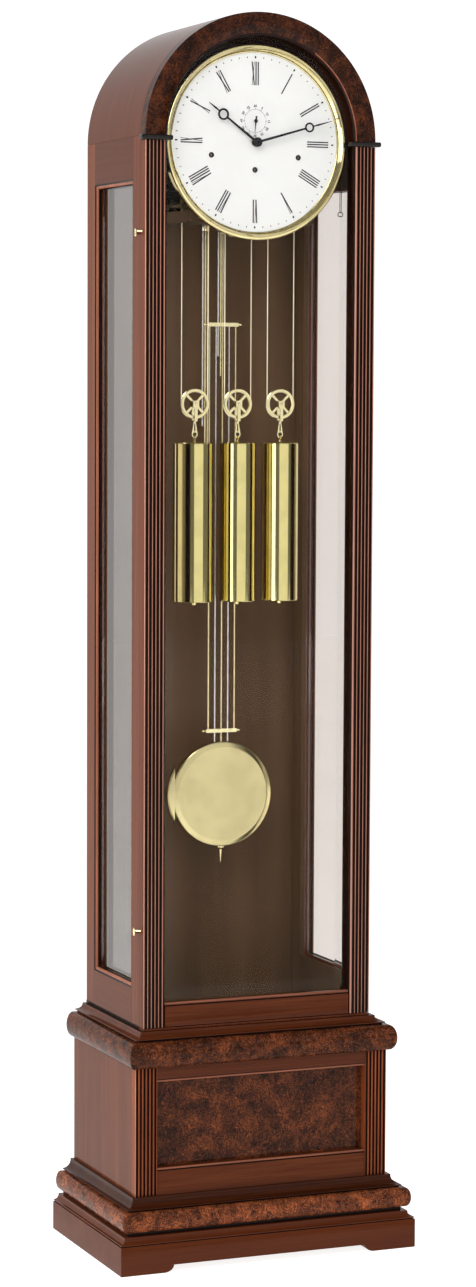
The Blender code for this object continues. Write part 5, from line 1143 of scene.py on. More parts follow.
for side, way in SIDES:
    for level, finish, foot_z, head_z in (("head", head_wood, high_z + QUIRK_REACH, trunk_high.z - 0.0006),
                                          ("foot", foot_wood, upper_top + 0.0046, low_z - QUIRK_REACH)):
        leaf = leaf_of(bmesh.new(), low_y - QUIRK_REACH, high_y + QUIRK_REACH, foot_z, head_z,
                       way * HALF_CASE, way * VENEER)
        wooden("side_%s_rail_%s" % (level, side), leaf, finish)
for side, way in SIDES:
    foot_z, head_z = BASE_TOP_Z + 0.002, trunk_high.z - MARGIN
    strips = [(trunk_low.y + MARGIN, low_y - MARGIN, foot_z, head_z)]
    strips += [(high_y + MARGIN, back_low.y - MARGIN, foot_z, head_z)]
    strips += [(low_y - MARGIN, high_y + MARGIN, foot_z, low_z - MARGIN)]
    strips += [(low_y - MARGIN, high_y + MARGIN, high_z + MARGIN, head_z)]
    leaf = bmesh.new()
    for strip in strips:
        leaf_of(leaf, *strip, way * (HALF_INSIDE - 0.0001), -way * LINING)
    inner = wooden("inner_lining_" + side, leaf, lining_wood)
    # The lining's front strip is painted near black as shade.
    stain_grooves(inner, lambda spot: spot.y < low_y)
    finish_faces(inner, lambda spot: spot.y > high_y, back_wood)
    low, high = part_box("side_glass_" + side)
    glass_back = HALF_CASE - min(abs(low.x), abs(high.x)) + TINY_GAP
    jamb = [(-LINING, glass_back), (LINING / 2, glass_back), (LINING / 2, JAMB_END), (-LINING, JAMB_END)]
    jamb_shape = frame_round(bmesh.new(), jamb, way, low.y, high.y, low.z, high.z)
    wooden("jamb_lining_" + side, jamb_shape, back_wood)
half_sheet, sheet_y = HALF_INSIDE - MARGIN, trunk_low.y + 0.004
sheet = [(-half_sheet, sheet_y), (half_sheet, sheet_y)]
sheet += [(half_sheet, back_low.y - MARGIN), (-half_sheet, back_low.y - MARGIN)]
sheet_shape = plate(bmesh.new(), [sheet], lying, BASE_TOP_Z + 0.0001, BASE_TOP_Z + 0.0006)
wooden("trunk_floor_sheet", sheet_shape, back_wood)

# %% Roof of the hood
roof_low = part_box("hood_roof")[0]
EASE = 0.0008
roof_section = [(HALF_CASE, roof_low.y + EASE), (HALF_CASE - EASE, roof_low.y), (HALF_INSIDE, roof_low.y)]
roof_section += [(HALF_INSIDE, BACK_Y), (HALF_CASE - EASE, BACK_Y), (HALF_CASE, BACK_Y - EASE)]
wooden("hood_roof_shell", sweep_arch(bmesh.new(), roof_section), roof_wood, ("hood_roof",))

# %% [markdown]
# ## The door
# The door is a frame: two fluted stiles, a bottom rail and an arch in burl, round one tall pane. A collar
# of black lacquer hides the joint between each stile and the arch. The inside edge has a narrow splay
# towards the glass. On the right a thin painted highlight runs along it, and on the left it is painted near
# black as shade.

# %% Stiles
stile_low, stile_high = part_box("door_stile_right")
glass_low, glass_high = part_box("door_glass")
door_back = stile_high.y
REBATE_Y = glass_low.y - TINY_GAP
GLASS_LAP = 0.005
inner_edge = [(OPENING + BEAD, DOOR_Y), (OPENING + 0.6 * BEAD, DOOR_Y + 0.2 * BEAD), (OPENING, DOOR_Y + BEAD)]
inner_edge += [(OPENING, REBATE_Y), (OPENING + GLASS_LAP, REBATE_Y), (OPENING + GLASS_LAP, door_back)]
collar_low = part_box("collar_right")[0]
stile_outline = fluted_edge(HALF_CASE, DOOR_Y, STILE_FLUTES, STILE_FLUTE) + inner_edge
stile_outline += [(HALF_CASE, door_back)]
for side, outline in (("left", mirrored(stile_outline)), ("right", stile_outline)):
    strip = plate(bmesh.new(), [outline], lying, stile_low.z, collar_low.z - TINY_GAP)
    stile = wooden("fluted_stile_" + side, strip, upright_wood, ("door_stile_" + side,), EDGE_CREASE, "door")
    # Painted light on the stiles: the crests get painted sheen, the outer corner and the right inner edge a
    # stronger painted highlight, and the grooves, the splay and the left inner edge are painted near black as
    # shade.
    finish_faces(stile, lambda spot: spot.y < DOOR_Y + 0.0009, crest_sheen_wood)
    finish_faces(stile, lambda spot: spot.y < DOOR_Y + 0.7 * CORNER and abs(spot.x) > HALF_CASE - 0.7 * CORNER
                 or spot.y < DOOR_Y + 0.0005 and 0 < spot.x < OPENING + 0.95 * BEAD, corner_sheen_wood)
    stain_grooves(stile, lambda spot: abs(spot.x) < OPENING + 0.55 * BEAD
                  or -OPENING - 0.95 * BEAD < spot.x < 0
                  or DOOR_Y + GROOVE_LIP < spot.y < DOOR_Y + 1.2 * FLUTE_DEPTH
                  and abs(spot.x) < HALF_CASE - CORNER)

# %% Rail and arch
rail_low, rail_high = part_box("door_rail")
rail_section = [(DOOR_Y + 0.0005, rail_low.z), (door_back, rail_low.z), (door_back, rail_high.z - GLASS_LAP)]
rail_section += [(REBATE_Y, rail_high.z - GLASS_LAP), (REBATE_Y, rail_high.z), (DOOR_Y + 0.0062, rail_high.z)]
rail_section += [(DOOR_Y + 0.0062 - 0.0046 * math.sin(a), rail_high.z - 0.0021 + 0.0021 * math.cos(a))
                 for a in (math.pi * s / 8 for s in range(1, 8))]
rail_section += [(DOOR_Y + 0.0030, rail_high.z - 0.0042), (DOOR_Y + 0.0030, rail_high.z - 0.0054)]
rail_section += [(DOOR_Y + 0.0006, rail_high.z - 0.0056), (DOOR_Y, rail_high.z - 0.0064)]
rail_section += [(DOOR_Y, rail_low.z + 0.0005)]
rail = plate(bmesh.new(), [rail_section], sideways, rail_low.x, rail_high.x)
foot_rail = wooden("door_foot_rail", rail, level_wood, ("door_rail",), EDGE_CREASE, "door")
# The quirk is painted near black as shade, and the bead's paler finish is a painted highlight.
stain_grooves(foot_rail, lambda spot: rail_high.z - 0.0057 < spot.z < rail_high.z - 0.0040
              and DOOR_Y + 0.0010 < spot.y < DOOR_Y + 0.0040)
finish_faces(foot_rail, lambda spot: spot.z > rail_high.z - 0.0042 and spot.y < DOOR_Y + 0.0060,
             level_bead_sheen_wood)
arch_section = [(HALF_CASE, door_back), (HALF_CASE, DOOR_Y + EASE), (HALF_CASE - EASE, DOOR_Y)] + inner_edge
arch = make_piece("door_burl_arch", sweep_arch(bmesh.new(), arch_section), "door", arch_burl,
                  ("door_arch",))


LIT_FROM_X = 0.09


def from_spring(spot):
    return math.hypot(spot.x, spot.z - SPRING_Z)


# Painted light on the arch: its inner return is painted near black as shade, and past LIT_FROM_X on the right
# a thin painted highlight.
stain_grooves(arch, lambda spot: from_spring(spot) < OPENING + 0.0055 and spot.y > DOOR_Y + 0.05 * BEAD)
finish_faces(arch, lambda spot: 0.55 * BEAD < from_spring(spot) - OPENING < BEAD
             and spot.y < DOOR_Y + 0.25 * BEAD and spot.x > LIT_FROM_X, bead_sheen_wood)

# %% Collars
for side in ("left", "right"):
    low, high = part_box("collar_" + side)
    collar = make_piece("black_collar_" + side, block(bmesh.new(), low, high), "door", black_lacquer,
                        ("collar_" + side,))
    soften(collar, 0.0026, 5)

# %% [markdown]
# ## Bevelled glass
# The pane is four millimetres thick, and its front is ground down to a thin edge over two centimetres. The
# flat field and the ground border need different shaders: the field is clear and hardly reflects, and the
# border bends the view. So one mesh gets two materials. The border is its own strip of faces between two
# outlines.

# %% Door pane
GLASS_BEVEL = 0.020
GLASS_EDGE = 0.0015


def pane_outline(inset):
    """Outline of the pane, drawn in by an inset: straight sides, a straight foot and a round head."""
    half = glass_high.x - inset
    points = [(-half, glass_low.z + inset), (half, glass_low.z + inset)]
    return points + arc((0.0, SPRING_Z), half, 0, 180, 72)


pane_shape = bmesh.new()
edge_ring = [pane_shape.verts.new((x, glass_high.y - GLASS_EDGE, z)) for x, z in pane_outline(0)]
field_ring = [pane_shape.verts.new((x, glass_low.y, z)) for x, z in pane_outline(GLASS_LAP + GLASS_BEVEL)]
back_ring = [pane_shape.verts.new((x, glass_high.y, z)) for x, z in pane_outline(0)]
back_field = [pane_shape.verts.new((x, glass_high.y, z)) for x, z in pane_outline(GLASS_LAP + GLASS_BEVEL)]
for index in range(len(edge_ring)):
    for first, second in ((edge_ring, field_ring), (edge_ring, back_ring), (back_ring, back_field)):
        face = pane_shape.faces.new((first[index - 1], first[index], second[index], second[index - 1]))
        face.material_index = 1
pane_shape.faces.new(field_ring)
pane_shape.faces.new(back_field)
door_glass = make_piece("bevelled_pane", pane_shape, "door", door_pane, ("door_glass",), 3.0)
door_glass.data.materials.append(bevel_pane)

# %% [markdown]
# ## The dial
# The dial is printed in black: twelve upright Roman numerals that all point to the centre, a ring of minute
# dots, and a small seconds circle with its own figures. A Roman numeral is only straight strokes, thick and
# thin, so each one is drawn from thin bars. The bars stand a hair proud of the plate, as thick printing ink
# does.

# %% Numerals
dress("dial_plate", dial_paint)
INK_PROUD = 0.00018
NUMERAL_FOOT = 0.0905
NUMERAL_TOP = 0.1275
THICK = 0.0020
THIN = 0.0009
NUMERALS = ("XII", "I", "II", "III", "IIII", "V", "VI", "VII", "VIII", "IX", "X", "XI")
LETTER_WIDTH = {"I": 0.0038, "V": 0.0052, "X": 0.0058}


def bar(foot, top, foot_z, top_z, width):
    """One straight stroke from its foot to its top."""
    half = width / 2
    return [(foot - half, foot_z), (foot + half, foot_z), (top + half, top_z), (top - half, top_z)]


def letter_strokes(letter, middle):
    """The bars of one letter, upright, as outlines of (across, away from the centre)."""
    low, high = NUMERAL_FOOT, NUMERAL_TOP
    half = LETTER_WIDTH[letter] / 2 - THICK / 2
    serif = 0.0003
    if letter == "I":
        strokes = [bar(middle, middle, low, high, THICK)]
        ends = [middle]
    elif letter == "V":
        strokes = [bar(middle, middle - half, low, high, THICK), bar(middle, middle + half, low, high, THIN)]
        ends = [middle - half, middle + half]
    else:
        strokes = [bar(middle + half, middle - half, low, high, THICK)]
        strokes.append(bar(middle - half, middle + half, low, high, THIN))
        ends = [middle - half, middle + half]
    for end in ends:
        strokes.append(bar(end, end, high - serif, high, THICK * 1.25))
    if letter != "V":
        for end in ends:
            strokes.append(bar(end, end, low, low + serif, THICK * 1.25))
    return strokes


def on_dial(angle, centre_z=DIAL_Z):
    """A printed mark's place on the dial, turned clockwise from twelve."""
    def spot(across, along, level):
        x = across * math.cos(angle) + along * math.sin(angle)
        z = along * math.cos(angle) - across * math.sin(angle)
        return Vector((x, level, centre_z + z))
    return spot


numerals = bmesh.new()
for hour, word in enumerate(NUMERALS):
    spot = on_dial(math.radians(30 * hour))
    width = sum(LETTER_WIDTH[letter] for letter in word)
    place = -width / 2
    for letter in word:
        middle = place + LETTER_WIDTH[letter] / 2
        for layer, stroke in enumerate(letter_strokes(letter, middle)):
            plate(numerals, [stroke], spot, DIAL_Y - INK_PROUD - 0.00002 * layer, DIAL_Y)
        place += LETTER_WIDTH[letter]
make_piece("dial_numerals", numerals, "case", ink)

# %% Minute dots
DOT_CIRCLE = 0.1345
dots = bmesh.new()
for minute in range(60):
    half, reach = (0.0014, 0.0021) if minute % 5 == 0 else (0.0008, 0.0013)
    turns = [2 * math.pi * step / 16 for step in range(16)]
    mark = [(half * math.cos(turn), DOT_CIRCLE + reach * math.sin(turn)) for turn in turns]
    plate(dots, [mark], on_dial(math.radians(6 * minute)), DIAL_Y - INK_PROUD, DIAL_Y)
make_piece("minute_dots", dots, "case", ink)

# %% Seconds circle
SECONDS_Z = middle_of("escape_wheel")[2]
SECONDS_RING = 0.0178
FIGURE_CIRCLE = 0.0236
marks = bmesh.new()
for second in range(60):
    spot = on_dial(math.radians(6 * second), SECONDS_Z)
    length, width = (0.0026, 0.00072) if second % 5 == 0 else (0.0014, 0.00048)
    tick = bar(0.0, 0.0, SECONDS_RING, SECONDS_RING + length, width)
    plate(marks, [tick], spot, DIAL_Y - INK_PROUD, DIAL_Y)
for count in range(12):
    words = bpy.data.curves.new("seconds_figure", "FONT")
    words.body = str(5 * count if count else 60)
    words.size = 0.0056
    words.offset = 0.00012
    words.align_x = "CENTER"
    words.align_y = "CENTER"
    holder = bpy.data.objects.new("seconds_figure", words)
    flat = bpy.data.meshes.new_from_object(holder)
    bpy.data.objects.remove(holder)
    figure = bmesh.new()
    figure.from_mesh(flat)
    spot = on_dial(math.radians(30 * count), SECONDS_Z)
    for point in figure.verts:
        point.co = spot(point.co.x, point.co.y + FIGURE_CIRCLE, DIAL_Y - INK_PROUD)
    figure.to_mesh(flat)
    figure.free()
    marks.from_mesh(flat)
make_piece("seconds_circle", marks, "case", ink)

# %% Winding holes: black sleeves as painted shade, and the arbors' tips
SLEEVE_BORE = 0.0021
SLEEVE_RIM = 0.0045
for side in WEIGHTS:
    x, _, z = middle_of("drum_" + side)
    sleeve = [(SLEEVE_BORE, 0.0006), (SLEEVE_BORE + 0.0004, 0.0010), (SLEEVE_RIM - 0.0005, 0.0010)]
    sleeve += [(SLEEVE_RIM, 0.0004), (SLEEVE_RIM, 0.00002), (SLEEVE_BORE + 0.0002, 0.00002)]
    sleeve += [(SLEEVE_BORE + 0.0002, -0.010), (SLEEVE_BORE, -0.010)]
    shape = lathe(bmesh.new(), sleeve, (x, DIAL_Y, z), (0, -1, 0), 40, closed=True)
    # The sleeve is a black piece that stands for the shade deep in the winding hole: painted shade.
    make_piece("winding_hole_shade_" + side, shape, "case", hand_black)
    tip = [(0.0, 0.0008), (0.0006, 0.0006), (0.0010, 0.0), (0.0010, -0.004), (0.0, -0.004)]
    point = lathe(bmesh.new(), tip, (x, DIAL_Y, z), (0, -1, 0), 24)
    make_piece("winding_tip_" + side, point, "drum_" + side, small_brass)

# %% [markdown]
# ## Bezel and hands
# The bezel is a turned and polished ring: a lip next to the dial, a groove in near-black brass as painted
# shade, a slope and a round crown.
# The hands are sawn from thin steel and blackened, each with an open ring near its tip. Their edges are
# eased, so a fine line of light runs along them.

# %% Bezel
crown = DIAL_Y - bezel_low.y
skirt = bezel_high.y - DIAL_Y
bezel_profile = [(DIAL_RADIUS, TINY_GAP), (DIAL_RADIUS, 0.0022), (DIAL_RADIUS + 0.0005, 0.0026)]
groove = ((0.0014, 0.0026), (0.0017, 0.0018), (0.0024, 0.0018))
bezel_profile += [(DIAL_RADIUS + out, lift) for out, lift in groove]
for step in range(7):
    share = step / 6
    lift = 0.0028 + (crown - 0.0034) * share - 0.0016 * share * (1 - share)
    bezel_profile.append((DIAL_RADIUS + 0.0026 + 0.0054 * share, lift))
bezel_profile += [(DIAL_RADIUS + 0.0090 + 0.0040 * math.sin(a), crown - 0.0034 + 0.0034 * math.cos(a))
                  for a in (math.radians(-10 + 12.5 * s) for s in range(9))]
bezel_profile += [(BEZEL_RADIUS, -skirt), (BEZEL_RADIUS - 0.006, -skirt), (BEZEL_RADIUS - 0.006, TINY_GAP)]
bezel = lathe(bmesh.new(), bezel_profile, (0, DIAL_Y, DIAL_Z), (0, -1, 0), 160, closed=True)
ring = make_piece("bezel_ring", bezel, "case", bezel_brass, ("bezel",), 40.0)


def from_dial(spot):
    return math.hypot(spot.x, spot.z - DIAL_Z)


# The groove gets near-black brass: painted shade.
finish_faces(ring, lambda spot: DIAL_RADIUS + 0.0014 < from_dial(spot) < DIAL_RADIUS + 0.0026
             and spot.y > DIAL_Y - 0.0025, shaded_brass)

# %% Hands
SHOWN_HOUR = 10.205
SHOWN_SECOND = 31.0


def ring_hand(name, node, body, reach, ring_reach, ring_radius, wall, angle, hole):
    """A hand with an open ring near its tip."""
    low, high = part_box(node)
    stem, neck, tip, boss = 0.0021, 0.0012, 0.00035, 0.0075
    wide = math.degrees(math.asin(stem / boss))
    foot = math.degrees(math.asin(neck * 1.3 / ring_radius))
    head = math.degrees(math.asin(neck * 1.1 / ring_radius))
    outline = arc((0, 0), boss, 90 + wide, 450 - wide, 40)
    outline += arc((0, ring_reach), ring_radius, -90 + foot, 90 - head, 20)
    leaf = ring_reach + ring_radius
    outline += [(neck * 0.8, leaf + 0.002), (neck * 1.25, leaf + 0.007), (tip, reach)]
    outline += [(-tip, reach), (-neck * 1.25, leaf + 0.007), (-neck * 0.8, leaf + 0.002)]
    outline += arc((0, ring_reach), ring_radius, 90 + head, 270 - foot, 20)
    outlines = [outline, round_outline((0, ring_reach), ring_radius - wall), round_outline((0, 0), hole)]
    shape = plate(bmesh.new(), outlines, on_dial(angle), low.y, high.y)
    hand = make_piece(name, shape, body, hand_black, (node,))
    soften(hand, 0.00022, 2)


minute_angle = 2 * math.pi * (SHOWN_HOUR % 1.0)
hour_angle = 2 * math.pi * SHOWN_HOUR / 12
ring_hand("minute_pointer", "minute_hand", "minute_work", reach=0.134, ring_reach=0.093, ring_radius=0.0080,
          wall=0.0029, angle=minute_angle, hole=0.0033)
ring_hand("hour_pointer", "hour_hand", "hour_work", reach=0.102, ring_reach=0.0715, ring_radius=0.0094,
          wall=0.0032, angle=hour_angle, hole=0.0051)
low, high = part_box("seconds_hand")
needle = arc((0, 0), 0.0030, -72, 72, 12) + [(0.0003, 0.0175), (-0.0003, 0.0175)]
needle += arc((0, 0), 0.0030, 108, 252, 12)
needle += [(-0.0011, -0.005), (-0.0017, -0.0075), (0.0017, -0.0075), (0.0011, -0.005)]
spot = on_dial(2 * math.pi * SHOWN_SECOND / 60, SECONDS_Z)
make_piece("seconds_pointer", plate(bmesh.new(), [needle], spot, low.y, high.y), "seconds_work", hand_black,
           ("seconds_hand",))

# %% [markdown]
# ## Weights
# Each weight is a brass tube with a cap at each end, hung from a wire eye. Polished tubes are what the eye
# goes to first, so they are turned with many steps. The caps sit inside the tube, so a thin lip shows at
# both ends.

# %% Weights
WEIGHT_TIP = 0.0056
WEIGHT_HEIGHT = 0.2569
EYE_RADIUS = 0.0041
for side in WEIGHTS:
    node = "weight_" + side
    low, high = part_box(node)
    x, y, _ = middle_of(node)
    radius = (high.x - low.x) / 2
    foot_z = low.z + WEIGHT_TIP
    top_z = foot_z + WEIGHT_HEIGHT
    profile = [(0.0, 0.0022), (0.0034, 0.0022), (0.0040, 0.0012), (0.0060, 0.0004), (0.0060, -0.0006)]
    profile += [(radius - 0.0016, -0.0008), (radius - 0.0013, 0.0), (radius - 0.0006, 0.0), (radius, -0.0006)]
    height = top_z - foot_z
    profile += [(radius, -height + 0.0006), (radius - 0.0006, -height), (radius - 0.0013, -height)]
    profile += [(radius - 0.0016, -height + 0.0008), (0.0062, -height + 0.0006), (0.0058, -height - 0.0010)]
    profile += [(0.0036, -height - 0.0016), (0.0036, -height - 0.0040), (0.0028, -height - 0.0054)]
    profile += [(0.0, -height - WEIGHT_TIP)]
    shape = lathe(bmesh.new(), profile, (x, y, top_z), steps=128)
    eye_z = high.z - 0.0045
    eye = [(x, across, along) for across, along in round_outline((y, eye_z), EYE_RADIUS, 24)]
    tube(shape, eye, 0.0009, 10, closed=True)
    tube(shape, [(x, y, top_z), (x, y, eye_z - 0.0036)], 0.0014, 12)
    make_piece("brass_weight_" + side, shape, node, weight_brass, (node,), 30.0)

# %% [markdown]
# ## Pulleys, stirrups and cables
# The cable comes down from the drum, goes round a spoked pulley and up again to the seat board, so the
# weight falls half as far as the cable runs. The pulley turns in a strap, and a flat snap hook below it
# carries the weight's eye. On the clock the cable is not rigid: when the weight sinks, its loop goes down
# with the pulley while its ends stay at the seat board. Here the cable is one piece on no body, drawn at
# rest.

# %% Pulleys
PULLEY_RADIUS = 0.0242
RIM_EASE = 0.0004
for side in WEIGHTS:
    node = "pulley_" + side
    low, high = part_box(node)
    x, y, _ = middle_of(node)
    z = low.z + PULLEY_RADIUS
    lip = (high.y - low.y) / 2
    inner = PULLEY_RADIUS - 0.0046
    half_rim = [(PULLEY_RADIUS, 0.0024), (PULLEY_RADIUS, lip - RIM_EASE), (PULLEY_RADIUS - RIM_EASE, lip)]
    half_rim += [(inner + RIM_EASE, lip), (inner, lip - RIM_EASE)]
    rim = half_rim[1:] + [(across, -along) for across, along in reversed(half_rim)]
    rim += [(0.0222, -0.0012), (0.0219, 0.0), (0.0222, 0.0012), half_rim[0]]
    shape = lathe(bmesh.new(), rim, (x, y, z), (0, -1, 0), 72, closed=True)
    half = 0.0017
    hub = 0.0052
    web = [round_outline((x, z), inner + 0.0004, 72), round_outline((x, z), 0.0025, 24)]
    outer_turn = math.degrees(math.asin(half * 1.25 / (inner - 0.0005)))
    inner_turn = math.degrees(math.asin(half / hub))
    for quarter in range(4):
        start = 45 + 90 * quarter
        window = arc((x, z), inner - 0.0005, start + outer_turn, start + 90 - outer_turn, 14)
        window += arc((x, z), hub, start + 90 - inner_turn, start + inner_turn, 6)
        web.append(window)
    plate(shape, web, facing, y - 0.0019, y + 0.0019)
    make_piece("spoked_pulley_" + side, shape, node, small_brass, (node,))

# %% Stirrups and hooks
for side in WEIGHTS:
    node = "stirrup_" + side
    low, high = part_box(node)
    pulley_low, pulley_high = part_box("pulley_" + side)
    x, _, axle_z = middle_of("pulley_" + side)
    y = (low.y + high.y) / 2
    strap = 0.0013
    inside = (pulley_high.y - pulley_low.y) / 2 + 2 * strap
    outside = inside + strap
    bridge_z = axle_z - PULLEY_RADIUS - 0.0025
    shape = bmesh.new()
    for way in (-1, 1):
        right_half = [(0.0024, bridge_z), (0.0027, axle_z - 0.0056)]
        right_half += [(0.0052, axle_z - 0.0050), (0.0052, axle_z + 0.0050)]
        cheek = [(x - 0.0024, bridge_z)] + [(x + across, along) for across, along in right_half]
        cheek += [(x - across, along) for across, along in reversed(right_half[1:])]
        near = y + way * inside
        far = y + way * outside
        plate(shape, [cheek], facing, min(near, far), max(near, far))
        rivet = [(0.0, 0.0011), (0.0014, 0.0009), (0.0021, 0.0), (0.0021, -0.0004)]
        lathe(shape, rivet, (x, y + way * outside, axle_z), (0, way, 0), 20)
    tube(shape, [(x, y - outside, axle_z), (x, y + outside, axle_z)], 0.0019, 20)
    block(shape, (x - 0.0024, y - outside, bridge_z - strap), (x + 0.0024, y + outside, bridge_z))
    ring_z = low.z + 0.0051
    hook = [(x - 0.0021, bridge_z), (x - 0.0021, bridge_z - 0.004)] + arc((x, ring_z), 0.0051, 155, 385, 40)
    hook += [(x + 0.0021, bridge_z - 0.004), (x + 0.0021, bridge_z)]
    slot_top = bridge_z - 0.0055
    slot_foot = ring_z + 0.0051
    slot = [(x - 0.0009, slot_top), (x - 0.0013, slot_foot), (x + 0.0013, slot_foot), (x + 0.0009, slot_top)]
    plate(shape, [hook, round_outline((x, ring_z), 0.0034, 36), slot], facing, y - 0.0010, y + 0.0010)
    make_piece("hook_strap_" + side, shape, "weight_" + side, small_brass, (node,))

# %% Cables
CABLE_RADIUS = 0.0008
WIND_RADIUS = 0.0230
end_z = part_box("seat_board")[0].z - TINY_GAP
for side in WEIGHTS:
    node = "cable_" + side
    top_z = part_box(node)[1].z
    x, y, _ = middle_of(node)
    axle_z = middle_of("pulley_" + side)[2]
    left_run = [(x - WIND_RADIUS, y, top_z + (axle_z - top_z) * s / 24) for s in range(24)]
    loop = [(across, y, along) for across, along in arc((x, axle_z), WIND_RADIUS, 180, 360, 28)]
    right_run = [(x + WIND_RADIUS, y, axle_z + (end_z - axle_z) * s / 20) for s in range(1, 21)]
    shape = tube(bmesh.new(), left_run + loop + right_run, CABLE_RADIUS, 10)
    cable = make_piece("brass_cable_" + side, shape, None, strand_brass, (node,))
    "weight_" + side
    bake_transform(cable)

# %% [markdown]
# ## Pendulum
# The gridiron pendulum mixes brass and steel rods, whose growth with warmth cancels out. Five rods stand
# between two bars with ball ends. The bob is a thick disc with a flat, softly brushed face, a bright
# bevelled rim and a round edge. A knurled nut under it sets the rate.

# %% Gridiron
grid_low, grid_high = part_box("gridiron_frame")
rod_low, rod_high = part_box("centre_rod")
ROD_RADIUS = (rod_high.x - rod_low.x) / 2
pendulum_y = (rod_low.y + rod_high.y) / 2
BAR_RADIUS = 0.0031
BALL_RADIUS = 0.0022
BAR_NECK = 0.0044
BAR_EASE = 0.0006
OUTER_ROD_X = 0.0230
top_bar_z = grid_high.z - BAR_RADIUS
foot_bar_z = grid_low.z + BAR_RADIUS
bar_half = grid_high.x - BALL_RADIUS - BAR_NECK
shape = bmesh.new()
for bar_z in (top_bar_z, foot_bar_z):
    right_end = [(bar_half - BAR_EASE, BAR_RADIUS), (bar_half, BAR_RADIUS - BAR_EASE)]
    right_end += [(across, -along) for across, along in reversed(right_end)]
    flat = [(across, bar_z + along) for across, along in right_end]
    flat += [(-across, bar_z + along) for across, along in reversed(right_end)]
    plate(shape, [flat], facing, pendulum_y - BAR_RADIUS, pendulum_y + BAR_RADIUS)
    turns = (math.radians(18 * step) for step in range(8))
    end = [(BALL_RADIUS * math.sin(turn), BAR_NECK + BALL_RADIUS * math.cos(turn)) for turn in turns]
    end += [(0.0011, 0.0016), (0.0014, 0.0005), (0.0024, 0.0), (0.0024, -0.0005), (0.0, -0.0005)]
    for way in (-1, 1):
        lathe(shape, end, (way * bar_half, pendulum_y, bar_z), (way, 0, 0), 28)
for x in (-OUTER_ROD_X, OUTER_ROD_X):
    tube(shape, [(x, pendulum_y, foot_bar_z), (x, pendulum_y, top_bar_z)], ROD_RADIUS, 20)
make_piece("gridiron_brass", shape, "pendulum", small_brass, ("gridiron_frame",))
rod = [(0.0, rod_high.z), (ROD_RADIUS, rod_high.z)]
tip_steps = [(ROD_RADIUS, 0.022), (0.0024, 0.021), (0.0024, 0.019)]
tip_steps += [(0.0017, 0.016), (0.0004, 0.0), (0.0, 0.0)]
for radius, rise in tip_steps:
    rod.append((radius, rod_low.z + rise))
rod_shape = lathe(bmesh.new(), rod, (0, pendulum_y, 0), steps=24)
make_piece("pendulum_rod", rod_shape, "pendulum", small_brass, ("centre_rod",))
for side in ("left", "right"):
    low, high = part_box("steel_rod_" + side)
    x = middle_of("steel_rod_" + side)[0]
    steel = tube(bmesh.new(), [(x, pendulum_y, low.z), (x, pendulum_y, high.z)], ROD_RADIUS, 20)
    make_piece("bright_rod_" + side, steel, "pendulum", rod_steel, ("steel_rod_" + side,))

# %% Bob and nut
bob_low, bob_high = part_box("pendulum_bob")
BOB_EXTRA = 0.0025
BOB_RADIUS = bob_high.x + BOB_EXTRA
bob_z = (bob_low.z + bob_high.z) / 2
half = (bob_high.y - bob_low.y) / 2
bob_profile = [(0.0, half)]
rim_steps = [(0.0102, 0.0), (0.0092, 0.0), (0.0084, 0.00015)]
rim_steps += [(0.0016, 0.0028), (0.0005, 0.0036), (0.0, 0.0048)]
for inwards, down in rim_steps:
    bob_profile.append((BOB_RADIUS - inwards, half - down))
bob_profile += [(radius, -height) for radius, height in reversed(bob_profile)]
bob = lathe(bmesh.new(), bob_profile, (0, pendulum_y, bob_z), (0, -1, 0), 160)
make_piece("bob_disc", bob, "bob", bob_brass, ("pendulum_bob",), 12.0)
nut_low, nut_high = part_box("rating_nut")
nut_profile = [(0.0020, nut_high.z), (0.0052, nut_high.z), (0.0062, nut_high.z - 0.0010)]
nut_profile += [(0.0062, nut_high.z - 0.0044), (0.0052, nut_high.z - 0.0056)]
nut_profile += [(0.0036, nut_low.z + 0.0006), (0.0020, nut_low.z)]
nut = lathe(bmesh.new(), nut_profile, (0, pendulum_y, 0), steps=40, closed=True)
make_piece("rating_thumb_nut", nut, "rating_nut", small_brass, ("rating_nut",))

# %% [markdown]
# ## Small fittings
# Two barrel hinges carry the door on its left. At the right a wire pull with a ring works the lever that
# silences the strike. Behind the pendulum hang the gong rods, screwed into one iron block. They are wire
# and turned work again.

# %% Hinges
HINGE_RADIUS = 0.0023
HINGE_LENGTH = 0.0066
HINGE_DEPTH = 0.020
for level in ("upper", "lower"):
    for owner, body, way in (("case", "case", -1), ("door", "door", 1)):
        node = "hinge_%s_%s" % (owner, level)
        low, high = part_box(node)
        x = low.x + HINGE_RADIUS
        y = DOOR_Y + HINGE_DEPTH
        near = low.z if way > 0 else high.z
        middle = near + way * (HINGE_LENGTH - HINGE_RADIUS)
        profile = [(0.0, near), (HINGE_RADIUS, near)]
        profile += [(HINGE_RADIUS, near + way * 0.0034), (0.0016, near + way * 0.0038)]
        profile += [(HINGE_RADIUS * math.sin(a), middle - way * HINGE_RADIUS * math.cos(a))
                    for a in (math.pi * s / 10 for s in range(3, 11))]
        shape = lathe(bmesh.new(), profile, (x, y, 0), steps=28)
        end_y = y - way * 0.006
        thick = 0.0010
        wall = -HALF_CASE - TINY_GAP
        leaf = [(x, y - thick), (wall, end_y - thick), (wall, end_y + thick), (x, y + thick)]
        leaf_z = near + way * 0.0018
        plate(shape, [leaf], lying, leaf_z - 0.0011, leaf_z + 0.0011)
        make_piece("barrel_hinge_%s_%s" % (owner, level), shape, body, small_brass, (node,))

